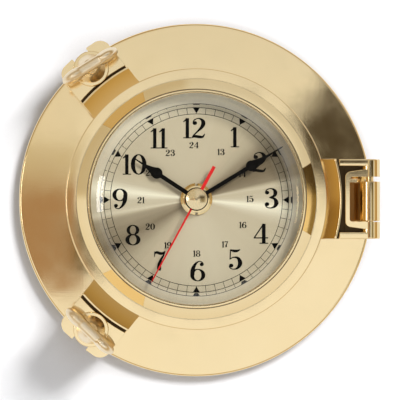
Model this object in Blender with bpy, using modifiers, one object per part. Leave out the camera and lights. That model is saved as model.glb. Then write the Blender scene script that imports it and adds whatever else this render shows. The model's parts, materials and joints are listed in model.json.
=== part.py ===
"""A brass porthole clock for a wall, modelled as the separate pieces that it comes apart into.

The pieces are laid out on a bench, dial up: +X points at the hinge (3 o'clock), +Y at 12 o'clock
and +Z out of the wall towards the viewer. One empty, bench_frame, then stands the whole clock
upright, so that in world space the dial faces -Y and 12 o'clock is +Z. The origin is the centre
of the back. Lengths are written in millimetres and become metres through MM.
"""

import math

import bmesh
import bpy
from mathutils import Matrix, Vector

MM = 0.001
FULL_TURN = 2 * math.pi
QUARTER_TURN = math.pi / 2

# Gaps between neighbours
FIT = 0.3
SCREW_CLEARANCE = 0.6

# How far a cutter runs past the face that it opens
OVERRUN = 1.0

# How finely round things are cut
RING_STEPS = 60
HIDDEN_RING_STEPS = 36
SMALL_STEPS = 24
TINY_STEPS = 12
SCREW_STEPS = 8
ARC_STEPS = 4

# Flange and drum, one casting
FLANGE_THICKNESS = 6.0
FLANGE_EDGE_ROUND = 1.2
FLANGE_PAST_HINGE = 2.8
DRUM_FOOT_FILLET = 1.5
DRUM_RIM_ABOVE_DIAL = 1.5
ROOM_BESIDE_MOVEMENT = 16.0
DIAL_LEDGE_WIDTH = 2.8
DIAL_SEAT_WALL = 4.7

# Back cover, its screws and the keyhole that hangs the clock
BACK_COVER_THICKNESS = 2.0
COVER_REST_WIDTH = 7.7
COVER_SCREW_INSET = 2.7
COVER_SCREW_COUNT = 3
COVER_SCREW_FIRST_ANGLE = math.radians(32)
COVER_SCREW_RADIUS = 1.1
COVER_SCREW_HEAD_RADIUS = 2.1
COVER_SCREW_HEAD_HEIGHT = 0.9
COVER_SCREW_LENGTH = 6.0
KEYHOLE_ABOVE_MOVEMENT = 6.0
KEYHOLE_HEAD_RADIUS = 4.5
KEYHOLE_NECK_RADIUS = 2.2
KEYHOLE_NECK_RISE = 6.5

# Dial and what clamps it
DIAL_CLEARANCE = 0.4
DIAL_THICKNESS = 0.8
DIAL_RING_WIDTH = 1.5
DIAL_RING_HEIGHT = 0.8
DIAL_WASHER_RADIUS = 9.0
DIAL_WASHER_THICKNESS = 0.8
DIAL_NUT_RADIUS = 6.8
DIAL_NUT_HEIGHT = 1.5
NUT_NOTCH_WIDTH = 1.0
NUT_NOTCH_DEPTH = 1.2

# Movement box
MOVEMENT_TOP = 28.0
MOVEMENT_WALL = 1.2
GEAR_ROOM_MARGIN = 0.37
BUSHING_WALL = 0.9
REAR_COVER_INSET = 2.6
REAR_COVER_THICKNESS = 1.2

# Battery, lying along X in its bay
BATTERY_RADIUS = 7.1
BATTERY_BODY_LENGTH = 49.0
BATTERY_NUB_RADIUS = 2.7
BATTERY_NUB_LENGTH = 1.2
BATTERY_SIDE_GAP = 0.5
CONTACT_THICKNESS = 0.4
CONTACT_SPRING_LENGTH = 1.4
CONTACT_WIDTH = 11.0
CONTACT_HEIGHT = 11.0
CONTACT_CONE_RADIUS = 3.7

# Motor and circuit
ROTOR_MAGNET_RADIUS = 2.4
ROTOR_MAGNET_HEIGHT = 2.0
PIVOT_PAST_MAGNET = 1.0
STATOR_HOLE_CLEARANCE = 0.4
STATOR_THICKNESS = 1.0
STATOR_SIDE_GAP = 2.6
STATOR_TOP_GAP = 1.6
POLE_PAST_ROTOR = 4.1
POLE_BELOW_ROTOR = 4.2
POLE_ABOVE_ROTOR = 5.0
CORE_WIDTH = 2.4
CORE_ARM_WIDTH = 3.2
COIL_RADIUS = 2.7
COIL_BORE_RADIUS = 1.6
COIL_LENGTH = 15.6
BOARD_SIDE_GAP = 0.6
BOARD_TOP_GAP = 1.4
BOARD_WIDTH = 13.6
BOARD_LENGTH = 21.4
BOARD_THICKNESS = 0.8
BOARD_ABOVE_COIL = 0.8
CRYSTAL_RADIUS = 1.0
CRYSTAL_LENGTH = 6.0

# Wheels: teeth, the module of each mesh, and where the arbors stand around the centre
ROTOR_LEAVES = 6
INTERMEDIATE_TEETH = 36
INTERMEDIATE_LEAVES = 6
SECONDS_TEETH = 30
SECONDS_LEAVES = 6
THIRD_TEETH = 45
THIRD_LEAVES = 6
CENTRE_TEETH = 48
CANNON_LEAVES = 8
MOTION_TEETH = 24
MOTION_LEAVES = 8
HOUR_TEETH = 32
SETTING_TEETH = 10
ROTOR_MODULE = 0.4
SECONDS_MODULE = 0.54
THIRD_MODULE = 0.43
CANNON_MODULE = 0.62
INTERMEDIATE_DIRECTION = math.radians(165)
ROTOR_DIRECTION = math.radians(200)
THIRD_DIRECTION = math.radians(100)
MOTION_DIRECTION = math.radians(20)
SETTING_DIRECTION = math.radians(-10)
WHEEL_THICKNESS = 0.8
WHEEL_CLEARANCE = 0.5
GEAR_ROOM_HEADROOM = 1.25
PIVOT_RADIUS = 0.5
SECONDS_ARBOR_RADIUS = 0.6
CANNON_BORE_GAP = 0.35
HOUR_PIPE_GAP = 0.65
PIPE_WALL = 0.55
SETTING_STEM_RADIUS = 1.0
SETTING_KNOB_RADIUS = 4.0
SETTING_KNOB_HEIGHT = 1.6

# Tooth form, in modules and in shares of half a pitch
TOOTH_TIP = 0.7
LEAF_ROOT = 1.1
WHEEL_ROOT = 1.4
WHEEL_TIP_SHARE = 0.22
LEAF_ROOT_SHARE = 0.75
LEAF_TIP_SHARE = 0.20
LEAF_LIMIT = 12

# Hands at ten past ten; angles run clockwise from 12
HAND_THICKNESS = 0.5
HAND_GAP = 0.5
HOUR_HAND_ANGLE = math.radians(303.2)
MINUTE_HAND_ANGLE = math.radians(58.7)
SECOND_HAND_ANGLE = math.radians(208.5)
HOUR_HAND_INSIDE_DIAL = 15.2
HOUR_HAND_POINT_LENGTH = 11.2
HOUR_HAND_BULB_RADIUS = 2.4
HOUR_HAND_SHANK = 1.5
MINUTE_HAND_INSIDE_DIAL = 4.6
MINUTE_HAND_POINT_LENGTH = 14.8
MINUTE_HAND_BULB_RADIUS = 2.3
MINUTE_HAND_SHANK = 1.3
HAND_POINT = 0.5
BULB_SHOULDER = math.radians(30)
POINT_SHARES = (0.38, 0.55, 0.8)
SECOND_HAND_INSIDE_DIAL = 7.4
SECOND_HAND_WIDTH = 0.7
SECOND_HAND_TAIL = 15.6
SECOND_HAND_TAIL_WIDTH = 1.3
HAND_BOSS_MARGIN = 1.6
CAP_RADIUS = 4.5
CAP_HEIGHT = 1.9
CAP_RIM = 0.6

# Door: ring, glass and what holds the glass
DOOR_OVERHANG = 3.5
DOOR_HEIGHT = 5.0
DOOR_EDGE_ROUND = 0.6
BAND_WIDTH = 4.4
SLOPE_WIDTH = 4.1
LIP_WIDTH = 1.5
LIP_THICKNESS = 1.7
COVE_SAG = 0.6
GLASS_REST_WIDTH = 1.6
GLASS_THICKNESS = 3.0
GLASS_BEVEL_WIDTH = 7.2
GLASS_BEVEL_DROP = 2.5
GLASS_ABOVE_CAP = 0.8
GLASS_GASKET_THICKNESS = 0.8
GLASS_GASKET_WIDTH = 1.3
GLASS_RING_PAST_GLASS = 1.6
GLASS_RING_HEIGHT = 2.0
CASE_GASKET_WIDTH = 2.2
CASE_GASKET_THICKNESS = 1.0

# Lugs on the door's edge: a cove that climbs to a sharp crest, a slot, then a plate
CREST_RISE = 4.4
CREST_WIDTH = 0.7
CREST_ROOT_DROP = 0.1
COVE_START = math.radians(20)
COVE_END = math.radians(82)
COVE_STEPS = 5
LUG_ROOT_IN_DOOR = 2.5
LUG_ABOVE_DOOR_BACK = 0.4
SLOT_FLOOR_THICKNESS = 2.0

# Hinge at 3 o'clock
HINGE_PLATE_LENGTH = 11.0
KNUCKLE_RADIUS = 4.3
KNUCKLE_TOP_OVER_BAND = 0.3
HINGE_CREST_REACH = 5.7
HINGE_SLOT_WIDTH = 1.5
HINGE_PLATE_THICKNESS = 3.4
CENTRE_KNUCKLE_TOP = 7.4
CENTRE_KNUCKLE_BOTTOM = -9.3
HINGE_GAP_TOP = 2.0
WINDOW_REACH = 8.9
RAIL_WIDTH = 2.9
HINGE_GROOVE_WIDTH = 2.4
RAIL_RISE = 1.3
BEAD_WIDTH = 1.9
BEAD_ARM_FLARE = 1.5
PIN_RADIUS = 1.6
PIN_END_INSET = 0.3
POST_FOOT_REACH = 13.2
POST_FOOT_THICKNESS = 3.0
POST_HEEL_REACH = 1.8
POST_SCREW_REACH = 1.3

# Dogs on the other side, at the same angle above and below 9 o'clock
DOG_ANGLE = math.radians(129)
DOG_HALF_WIDTH = 12.2
DOG_CREST_REACH = 7.2
DOG_SLOT_WIDTH = 0.8
DOG_SLOT_DEPTH = 1.3
DOG_PLATE_LENGTH = 16.0
DOG_PLATE_THICKNESS = 4.0
DOG_CORNER_RADIUS = 4.8
DOG_SCREW_INSET = 7.5
DOG_LUG_REACH = 12.5
DOG_LUG_END_INSET = 1.4
DOG_WEB_CLEARANCE = 0.8

# Wing screws and their washers
WING_SCREW_RADIUS = 3.0
WING_SCREW_ENGAGEMENT = 3.4
WING_SCREW_RUN_OUT = 2.8
WASHER_PAST_BOSS = 1.4
WASHER_THICKNESS = 1.2
BOSS_RADIUS = 6.0
BOSS_TOP_RADIUS = 4.0
BOSS_HEIGHT = 13.0
BOSS_NECK_HEIGHT = 5.8
BOSS_RIM_HEIGHT = 1.3
WING_SCREW_CHAMFER = 0.6
WING_ABOVE_BOSS = 0.4
WING_SPREAD = 8.0
PADDLE_RADIUS = 5.2
PADDLE_THICKNESS = 4.6
PADDLE_ROUND = 0.9
PADDLE_STEPS = 16
WING_WEB_THICKNESS = 3.2
WING_WEB_HEIGHT = 7.0
UPPER_WING_TURN = math.radians(-7)
LOWER_WING_TURN = math.radians(3)

# Screws that come through the flange from behind into the lugs and the hinge post
LUG_SCREW_INSET = 6.0
LUG_SCREW_RADIUS = 1.5
LUG_SCREW_HEAD_RADIUS = 2.8
LUG_SCREW_HEAD_HEIGHT = 1.8
LUG_SCREW_LENGTH = 12.0
SCREW_SLOT_WIDTH = 0.8
SCREW_SLOT_DEPTH = 0.5

# Pipes on the centre line, each round the one inside it
CANNON_RADIUS = SECONDS_ARBOR_RADIUS + CANNON_BORE_GAP + PIPE_WALL
HOUR_PIPE_RADIUS = CANNON_RADIUS + HOUR_PIPE_GAP + PIPE_WALL
BUSHING_RADIUS = HOUR_PIPE_RADIUS + FIT + BUSHING_WALL

# Distances between arbors, and the modules that follow from them
MOTION_DISTANCE = (CANNON_LEAVES + MOTION_TEETH) * CANNON_MODULE / 2
HOUR_MODULE = 2 * MOTION_DISTANCE / (MOTION_LEAVES + HOUR_TEETH)
THIRD_DISTANCE = (SECONDS_LEAVES + THIRD_TEETH) * THIRD_MODULE / 2
CENTRE_MODULE = 2 * THIRD_DISTANCE / (THIRD_LEAVES + CENTRE_TEETH)
INTERMEDIATE_DISTANCE = (INTERMEDIATE_LEAVES + SECONDS_TEETH) * SECONDS_MODULE / 2
ROTOR_DISTANCE = (ROTOR_LEAVES + INTERMEDIATE_TEETH) * ROTOR_MODULE / 2
SETTING_DISTANCE = (MOTION_TEETH + SETTING_TEETH) * CANNON_MODULE / 2

# The movement's box: as wide as the battery with its contacts, as high as gears and battery
CONTACTS_LENGTH = 2 * CONTACT_THICKNESS + CONTACT_SPRING_LENGTH + 4 * FIT
BAY_LENGTH = BATTERY_BODY_LENGTH + BATTERY_NUB_LENGTH + CONTACTS_LENGTH
INSIDE_HALF_WIDTH = BAY_LENGTH / 2
MOVEMENT_HALF_WIDTH = INSIDE_HALF_WIDTH + MOVEMENT_WALL
INSIDE_TOP = MOVEMENT_TOP - MOVEMENT_WALL
CENTRE_WHEEL_TIP = (CENTRE_TEETH / 2 + TOOTH_TIP) * CENTRE_MODULE
GEAR_ROOM_BOTTOM = -CENTRE_WHEEL_TIP - GEAR_ROOM_MARGIN
BATTERY_BAY_TOP = GEAR_ROOM_BOTTOM - MOVEMENT_WALL
BATTERY_BAY_BOTTOM = BATTERY_BAY_TOP - 2 * (BATTERY_RADIUS + BATTERY_SIDE_GAP)
MOVEMENT_BOTTOM = BATTERY_BAY_BOTTOM - MOVEMENT_WALL

# Radii, each from the piece inside it
CASE_BORE_RADIUS = MOVEMENT_HALF_WIDTH + ROOM_BESIDE_MOVEMENT
BACK_COVER_RADIUS = CASE_BORE_RADIUS + COVER_REST_WIDTH
COVER_SCREW_CIRCLE = BACK_COVER_RADIUS - COVER_SCREW_INSET
KEYHOLE_HEIGHT = MOVEMENT_TOP + KEYHOLE_ABOVE_MOVEMENT
DIAL_SEAT_RADIUS = CASE_BORE_RADIUS + DIAL_LEDGE_WIDTH
DIAL_RADIUS = DIAL_SEAT_RADIUS - DIAL_CLEARANCE
DRUM_RADIUS = DIAL_SEAT_RADIUS + DIAL_SEAT_WALL
CASE_GASKET_RADIUS = DRUM_RADIUS - FIT
DOOR_RADIUS = DRUM_RADIUS + DOOR_OVERHANG
BAND_INNER_RADIUS = DOOR_RADIUS - BAND_WIDTH
LIP_EDGE_RADIUS = BAND_INNER_RADIUS - SLOPE_WIDTH
LIP_BORE_RADIUS = LIP_EDGE_RADIUS - LIP_WIDTH
GLASS_RADIUS = LIP_BORE_RADIUS + GLASS_REST_WIDTH
GLASS_RING_RADIUS = GLASS_RADIUS + GLASS_RING_PAST_GLASS
GLASS_RING_BORE_RADIUS = GLASS_RADIUS - GLASS_GASKET_WIDTH

# Hands, from the dial's edge inwards
HOUR_HAND_LENGTH = DIAL_RADIUS - HOUR_HAND_INSIDE_DIAL
HOUR_HAND_BULB_AT = HOUR_HAND_LENGTH - HOUR_HAND_POINT_LENGTH
MINUTE_HAND_LENGTH = DIAL_RADIUS - MINUTE_HAND_INSIDE_DIAL
MINUTE_HAND_BULB_AT = MINUTE_HAND_LENGTH - MINUTE_HAND_POINT_LENGTH
SECOND_HAND_LENGTH = DIAL_RADIUS - SECOND_HAND_INSIDE_DIAL

# Lugs, hinge, flange and dogs, from the door's edge outwards
CREST_ROOT_RADIUS = DOOR_RADIUS - DOOR_EDGE_ROUND
LUG_ROOT_RADIUS = DOOR_RADIUS - LUG_ROOT_IN_DOOR
HINGE_CREST_RADIUS = DOOR_RADIUS + HINGE_CREST_REACH
HINGE_SLOT_END = HINGE_CREST_RADIUS + HINGE_SLOT_WIDTH
HINGE_AXIS_X = HINGE_SLOT_END + HINGE_PLATE_LENGTH
WINDOW_LEFT = HINGE_AXIS_X - WINDOW_REACH
WINDOW_TOP = CENTRE_KNUCKLE_TOP + HINGE_GAP_TOP
WINDOW_BOTTOM = CENTRE_KNUCKLE_BOTTOM - FIT
HINGE_LUG_HALF_WIDTH = -WINDOW_BOTTOM + BEAD_WIDTH + HINGE_GROOVE_WIDTH + RAIL_WIDTH
POST_FOOT_LEFT = HINGE_AXIS_X - POST_FOOT_REACH
POST_HEEL = HINGE_AXIS_X + POST_HEEL_REACH
POST_SCREW_X = HINGE_AXIS_X - POST_SCREW_REACH
FLANGE_RADIUS = HINGE_AXIS_X + FLANGE_PAST_HINGE
DOG_CREST_RADIUS = DOOR_RADIUS + DOG_CREST_REACH
DOG_WEB_START = DOOR_RADIUS + DOG_WEB_CLEARANCE
DOG_PLATE_START = DOG_CREST_RADIUS + DOG_SLOT_WIDTH
DOG_PLATE_END = DOG_PLATE_START + DOG_PLATE_LENGTH
DOG_SCREW_X = DOG_PLATE_START + DOG_SCREW_INSET
DOG_FORK_WIDTH = 2 * (WING_SCREW_RADIUS + SCREW_CLEARANCE)
DOG_LUG_START = DOG_SCREW_X - DOG_LUG_REACH
DOG_LUG_END = DOG_PLATE_END - DOG_LUG_END_INSET
LUG_SCREW_X = DOG_LUG_START + LUG_SCREW_INSET
WASHER_RADIUS = BOSS_RADIUS + WASHER_PAST_BOSS
WING_CENTRE_HEIGHT = BOSS_HEIGHT + WING_ABOVE_BOSS

# Heights inside the movement, above the wall
COVER_TOP = BACK_COVER_THICKNESS
MOVEMENT_BACK = COVER_TOP + FIT
GEAR_ROOM_BACK = MOVEMENT_BACK + REAR_COVER_INSET + REAR_COVER_THICKNESS
INTERMEDIATE_WHEEL_BACK = GEAR_ROOM_BACK + WHEEL_CLEARANCE
SECONDS_WHEEL_BACK = INTERMEDIATE_WHEEL_BACK + WHEEL_THICKNESS + WHEEL_CLEARANCE
THIRD_WHEEL_BACK = SECONDS_WHEEL_BACK + 2 * WHEEL_THICKNESS + WHEEL_CLEARANCE / 2
CENTRE_WHEEL_BACK = THIRD_WHEEL_BACK + 2 * WHEEL_THICKNESS + WHEEL_CLEARANCE
MOTION_WHEEL_BACK = CENTRE_WHEEL_BACK + 2 * WHEEL_THICKNESS
HOUR_WHEEL_BACK = MOTION_WHEEL_BACK + 2 * WHEEL_THICKNESS
GEARS_FRONT = HOUR_WHEEL_BACK + WHEEL_THICKNESS + GEAR_ROOM_HEADROOM
BATTERY_FRONT = MOVEMENT_BACK + 2 * (BATTERY_RADIUS + FIT)
GEAR_ROOM_FRONT = max(GEARS_FRONT, BATTERY_FRONT)

# Heights above the wall, each from the piece under it
MOVEMENT_FRONT = GEAR_ROOM_FRONT + MOVEMENT_WALL
WASHER_BACK = MOVEMENT_FRONT + FIT
DIAL_BACK = WASHER_BACK + DIAL_WASHER_THICKNESS + FIT
DIAL_FRONT = DIAL_BACK + DIAL_THICKNESS
DIAL_LEDGE = DIAL_BACK - FIT
DRUM_TOP = DIAL_FRONT + DRUM_RIM_ABOVE_DIAL
NUT_BACK = DIAL_FRONT + FIT
NUT_FRONT = NUT_BACK + DIAL_NUT_HEIGHT
HOUR_HAND_BACK = NUT_FRONT + FIT
MINUTE_HAND_BACK = HOUR_HAND_BACK + HAND_THICKNESS + HAND_GAP
SECOND_HAND_BACK = MINUTE_HAND_BACK + HAND_THICKNESS + HAND_GAP
CAP_BACK = SECOND_HAND_BACK + HAND_THICKNESS + FIT
CAP_FRONT = CAP_BACK + CAP_HEIGHT
GLASS_BACK = CAP_FRONT + GLASS_ABOVE_CAP
GLASS_FRONT = GLASS_BACK + GLASS_THICKNESS
LIP_BACK = GLASS_FRONT + FIT
LIP_FRONT = LIP_BACK + LIP_THICKNESS
GLASS_GASKET_BACK = GLASS_BACK - FIT - GLASS_GASKET_THICKNESS
GLASS_RING_BACK = GLASS_GASKET_BACK - FIT - GLASS_RING_HEIGHT
CASE_GASKET_BACK = DRUM_TOP + FIT
DOOR_BACK = CASE_GASKET_BACK + CASE_GASKET_THICKNESS + FIT
BAND_FRONT = DOOR_BACK + DOOR_HEIGHT
CREST_FRONT = BAND_FRONT + CREST_RISE
HINGE_AXIS_Z = BAND_FRONT + KNUCKLE_TOP_OVER_BAND - KNUCKLE_RADIUS
LUG_BACK = DOOR_BACK + LUG_ABOVE_DOOR_BACK
SLOT_FLOOR = LUG_BACK + SLOT_FLOOR_THICKNESS
DOG_LUG_TOP = DRUM_TOP - FIT
DOG_PLATE_BACK = DOG_LUG_TOP + FIT
DOG_PLATE_FRONT = DOG_PLATE_BACK + DOG_PLATE_THICKNESS
DOG_WASHER_BACK = DOG_PLATE_FRONT + FIT
BOSS_BACK = DOG_WASHER_BACK + WASHER_THICKNESS + FIT
FLANGE_SEAT = FLANGE_THICKNESS + FIT

PARTS_COLLECTION = "porthole_clock"
GUIDES_COLLECTION = "cutters_and_joined_shapes"

FINISHES = {
    "polished_brass": ((0.83, 0.64, 0.32, 1), 1.0, 0.12),
    "satin_brass": ((0.75, 0.58, 0.30, 1), 1.0, 0.35),
    "silver_dial": ((0.78, 0.74, 0.62, 1), 0.9, 0.4),
    "black_paint": ((0.01, 0.01, 0.01, 1), 0.0, 0.35),
    "red_paint": ((0.75, 0.03, 0.02, 1), 0.0, 0.4),
    "clear_glass": ((0.95, 0.97, 0.96, 1), 0.0, 0.02),
    "black_rubber": ((0.02, 0.02, 0.02, 1), 0.0, 0.8),
    "black_plastic": ((0.03, 0.03, 0.03, 1), 0.0, 0.5),
    "white_plastic": ((0.85, 0.85, 0.82, 1), 0.0, 0.4),
    "steel": ((0.6, 0.6, 0.6, 1), 1.0, 0.3),
    "copper": ((0.72, 0.32, 0.15, 1), 1.0, 0.3),
    "circuit_green": ((0.03, 0.22, 0.08, 1), 0.0, 0.5),
    "battery_wrap": ((0.15, 0.2, 0.35, 1), 0.0, 0.35),
}


def clear_scene():
    for item in list(bpy.data.objects):
        bpy.data.objects.remove(item)


def new_collection(name):
    made = bpy.data.collections.new(name)
    bpy.context.scene.collection.children.link(made)
    return made


def new_empty(name, parent, location=(0, 0, 0), rotation=(0, 0, 0)):
    empty = bpy.data.objects.new(name, None)
    bpy.context.scene.collection.objects.link(empty)
    empty.parent = parent
    empty.location = Vector(location) * MM
    empty.rotation_euler = rotation
    return empty


def new_material(name, finish):
    colour, metallic, roughness = FINISHES[finish]
    made = bpy.data.materials.new(name)
    made.use_nodes = True
    shader = made.node_tree.nodes["Principled BSDF"]
    shader.inputs["Base Color"].default_value = colour
    shader.inputs["Metallic"].default_value = metallic
    shader.inputs["Roughness"].default_value = roughness
    return made


class Bench:
    """Puts pieces and guides into their collections, under the frame that they belong to."""

    def __init__(self):
        clear_scene()
        self.parts = new_collection(PARTS_COLLECTION)
        self.guides = new_collection(GUIDES_COLLECTION)
        self.frame = new_empty("bench_frame", None, rotation=(QUARTER_TURN, 0, 0))
        self.upper_dog = new_empty("upper_dog_frame", self.frame, rotation=(0, 0, DOG_ANGLE))
        self.lower_dog = new_empty("lower_dog_frame", self.frame, rotation=(0, 0, -DOG_ANGLE))
        axis = (HINGE_AXIS_X, 0, HINGE_AXIS_Z)
        self.hinge = new_empty("door_hinge_axis", self.frame, location=axis)

    def add(self, name, mesh, finish=None, parent=None, location=(0, 0, 0), turn=0.0):
        """Links a piece, or with no finish a guide that only cuts or joins."""
        item = bpy.data.objects.new(name, mesh)
        item.parent = parent or self.frame
        item.location = Vector(location) * MM
        item.rotation_euler = (0, 0, turn)
        if finish:
            self.parts.objects.link(item)
            mesh.materials.append(new_material(name + "_finish", finish))
        else:
            self.guides.objects.link(item)
            item.hide_render = True
            item.display_type = "WIRE"
        return item


def boolean(target, tool, operation):
    step = target.modifiers.new(operation.lower() + "_" + tool.name, "BOOLEAN")
    step.operation = operation
    step.object = tool
    step.solver = "EXACT"


def cut(target, tool):
    boolean(target, tool, "DIFFERENCE")


def join(target, tool):
    boolean(target, tool, "UNION")


def keep_inside(target, tool):
    boolean(target, tool, "INTERSECT")


def mesh_from(builder, name):
    mesh = bpy.data.meshes.new(name)
    builder.to_mesh(mesh)
    builder.free()
    return mesh


def box_mesh(name, low, high):
    builder = bmesh.new()
    bmesh.ops.create_cube(builder, size=1)
    size = (Vector(high) - Vector(low)) * MM
    middle = (Vector(high) + Vector(low)) * MM / 2
    bmesh.ops.scale(builder, vec=size, verts=builder.verts)
    bmesh.ops.translate(builder, vec=middle, verts=builder.verts)
    return mesh_from(builder, name)


def rod_mesh(name, radius, low, high, steps=SMALL_STEPS, along=None, top_radius=None):
    """A round rod along Z, or along the axis that the matrix `along` turns Z to."""
    builder = bmesh.new()
    top = radius if top_radius is None else top_radius
    size = {"radius1": radius * MM, "radius2": top * MM, "depth": (high - low) * MM}
    bmesh.ops.create_cone(builder, cap_ends=True, segments=steps, **size)
    bmesh.ops.translate(builder, vec=(0, 0, (low + high) * MM / 2), verts=builder.verts)
    if along:
        bmesh.ops.transform(builder, matrix=along, verts=builder.verts)
    return mesh_from(builder, name)


def turned(bench, name, profile, finish=None, steps=RING_STEPS, **place):
    """Turns a profile of (radius, height) points about Z; it runs down its outer side.

    A profile that starts on the axis is an open chain that ends on it too; any other is a loop.
    """
    mesh = bpy.data.meshes.new(name)
    points = [(radius * MM, 0, height * MM) for radius, height in profile]
    edges = [(i, i + 1) for i in range(len(points) - 1)]
    if profile[0][0] > 0:
        edges.append((len(points) - 1, 0))
    mesh.from_pydata(points, edges, [])
    item = bench.add(name, mesh, finish, **place)
    lathe = item.modifiers.new("turned", "SCREW")
    lathe.angle = FULL_TURN
    lathe.steps = steps
    lathe.render_steps = steps
    lathe.use_merge_vertices = True
    lathe.merge_threshold = 0.00001
    lathe.use_smooth_shade = False
    return item


def ring_profile(inner, outer, back, front):
    return [(outer, front), (outer, back), (inner, back), (inner, front)]


def arc(centre, radius, start, end, steps=ARC_STEPS):
    """Points on an arc, both ends included; angles in radians, counter-clockwise from +X."""
    points = []
    for i in range(steps + 1):
        angle = start + (end - start) * i / steps
        points.append((centre[0] + radius * math.cos(angle), centre[1] + radius * math.sin(angle)))
    return points


def circle(centre, radius, steps=SMALL_STEPS):
    return arc(centre, radius, 0, FULL_TURN, steps)[:-1]


def plate_mesh(name, outlines, back, front, turn=None):
    """A flat plate: the first outline is its edge and the others are its holes."""
    curve = bpy.data.curves.new(name, "CURVE")
    curve.dimensions = "2D"
    curve.fill_mode = "BOTH"
    curve.extrude = (front - back) * MM / 2
    for outline in outlines:
        spline = curve.splines.new("POLY")
        spline.points.add(len(outline) - 1)
        for point, (x, y) in zip(spline.points, outline):
            point.co = (x * MM, y * MM, 0, 1)
        spline.use_cyclic_u = True
    drawn = bpy.data.objects.new(name, curve)
    bpy.context.scene.collection.objects.link(drawn)
    graph = bpy.context.evaluated_depsgraph_get()
    mesh = bpy.data.meshes.new_from_object(drawn.evaluated_get(graph))
    builder = bmesh.new()
    builder.from_mesh(mesh)
    bmesh.ops.remove_doubles(builder, verts=builder.verts, dist=0.000001)
    bmesh.ops.recalc_face_normals(builder, faces=builder.faces)
    bmesh.ops.translate(builder, vec=(0, 0, (back + front) * MM / 2), verts=builder.verts)
    if turn:
        bmesh.ops.transform(builder, matrix=turn, verts=builder.verts)
    builder.to_mesh(mesh)
    builder.free()
    mesh.materials.clear()
    bpy.data.objects.remove(drawn)
    return mesh


def drill(bench, target, name, x, y, radius, back, front, parent=None, steps=SMALL_STEPS):
    bit = bench.add(name, rod_mesh(name, radius, back, front, steps), parent=parent, location=(x, y, 0))
    cut(target, bit)


# Turns a drawing of (x, height) points so that its thickness lies along Y
SIDE_VIEW = Matrix.Rotation(QUARTER_TURN, 4, "X")
# Turns a rod to lie along Y, and along X
ALONG_Y = Matrix.Rotation(-QUARTER_TURN, 4, "X")
ALONG_X = Matrix.Rotation(QUARTER_TURN, 4, "Y")


def lug_frames(bench):
    return (("upper", bench.upper_dog), ("lower", bench.lower_dog))


def cover_screw_places():
    step = FULL_TURN / COVER_SCREW_COUNT
    for i in range(COVER_SCREW_COUNT):
        angle = COVER_SCREW_FIRST_ANGLE + i * step
        yield i + 1, COVER_SCREW_CIRCLE * math.cos(angle), COVER_SCREW_CIRCLE * math.sin(angle)


def slotted_screw(bench, name, radius, head_radius, head_height, length, back, x, y, parent=None):
    """A screw put in from behind: its head is at `back` and its shank runs towards the dial."""
    neck = back + head_height
    profile = [(0, back + length), (radius, back + length), (radius, neck)]
    profile += [(head_radius, neck), (head_radius, back), (0, back)]
    place = {"parent": parent, "location": (x, y, 0)}
    screw = turned(bench, name, profile, "steel", SCREW_STEPS, **place)
    half = SCREW_SLOT_WIDTH / 2
    reach = head_radius + OVERRUN
    low = (-reach, -half, back - OVERRUN)
    high = (reach, half, back + SCREW_SLOT_DEPTH)
    cut(screw, bench.add(name + "_slot", box_mesh(name, low, high), **place))
    return screw


def make_case(bench):
    """The flange and the drum, one casting, with the seats for the cover and the dial."""
    round_start = FLANGE_RADIUS - FLANGE_EDGE_ROUND
    cover_seat = BACK_COVER_RADIUS + FIT
    profile = [(DRUM_RADIUS, DRUM_TOP)]
    foot = (DRUM_RADIUS + DRUM_FOOT_FILLET, FLANGE_THICKNESS + DRUM_FOOT_FILLET)
    profile += arc(foot, DRUM_FOOT_FILLET, math.pi, 1.5 * math.pi, 1)
    edge = (round_start, FLANGE_THICKNESS - FLANGE_EDGE_ROUND)
    profile += arc(edge, FLANGE_EDGE_ROUND, QUARTER_TURN, 0, 2)
    profile += [(FLANGE_RADIUS, 0), (cover_seat, 0), (cover_seat, MOVEMENT_BACK)]
    profile += [(CASE_BORE_RADIUS, MOVEMENT_BACK), (CASE_BORE_RADIUS, DIAL_LEDGE)]
    profile += [(DIAL_SEAT_RADIUS, DIAL_LEDGE), (DIAL_SEAT_RADIUS, DRUM_TOP)]
    case = turned(bench, "case_body", profile, "polished_brass")
    for number, x, y in cover_screw_places():
        name = f"cover_screw_hole_{number}"
        top = COVER_SCREW_LENGTH + OVERRUN
        drill(bench, case, name, x, y, COVER_SCREW_RADIUS + FIT, -OVERRUN, top, steps=TINY_STEPS)
    places = [("hinge_post", None, POST_SCREW_X)]
    places += [(side + "_dog_lug", frame, LUG_SCREW_X) for side, frame in lug_frames(bench)]
    for side, frame, x in places:
        through = FLANGE_THICKNESS + OVERRUN
        radius = LUG_SCREW_RADIUS + FIT
        drill(bench, case, side + "_screw_hole", x, 0, radius, -OVERRUN, through, frame, TINY_STEPS)
        radius = LUG_SCREW_HEAD_RADIUS + FIT
        depth = LUG_SCREW_HEAD_HEIGHT + 2 * FIT
        name = side + "_screw_head_seat"
        drill(bench, case, name, x, 0, radius, -OVERRUN, depth, frame, TINY_STEPS)


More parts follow.
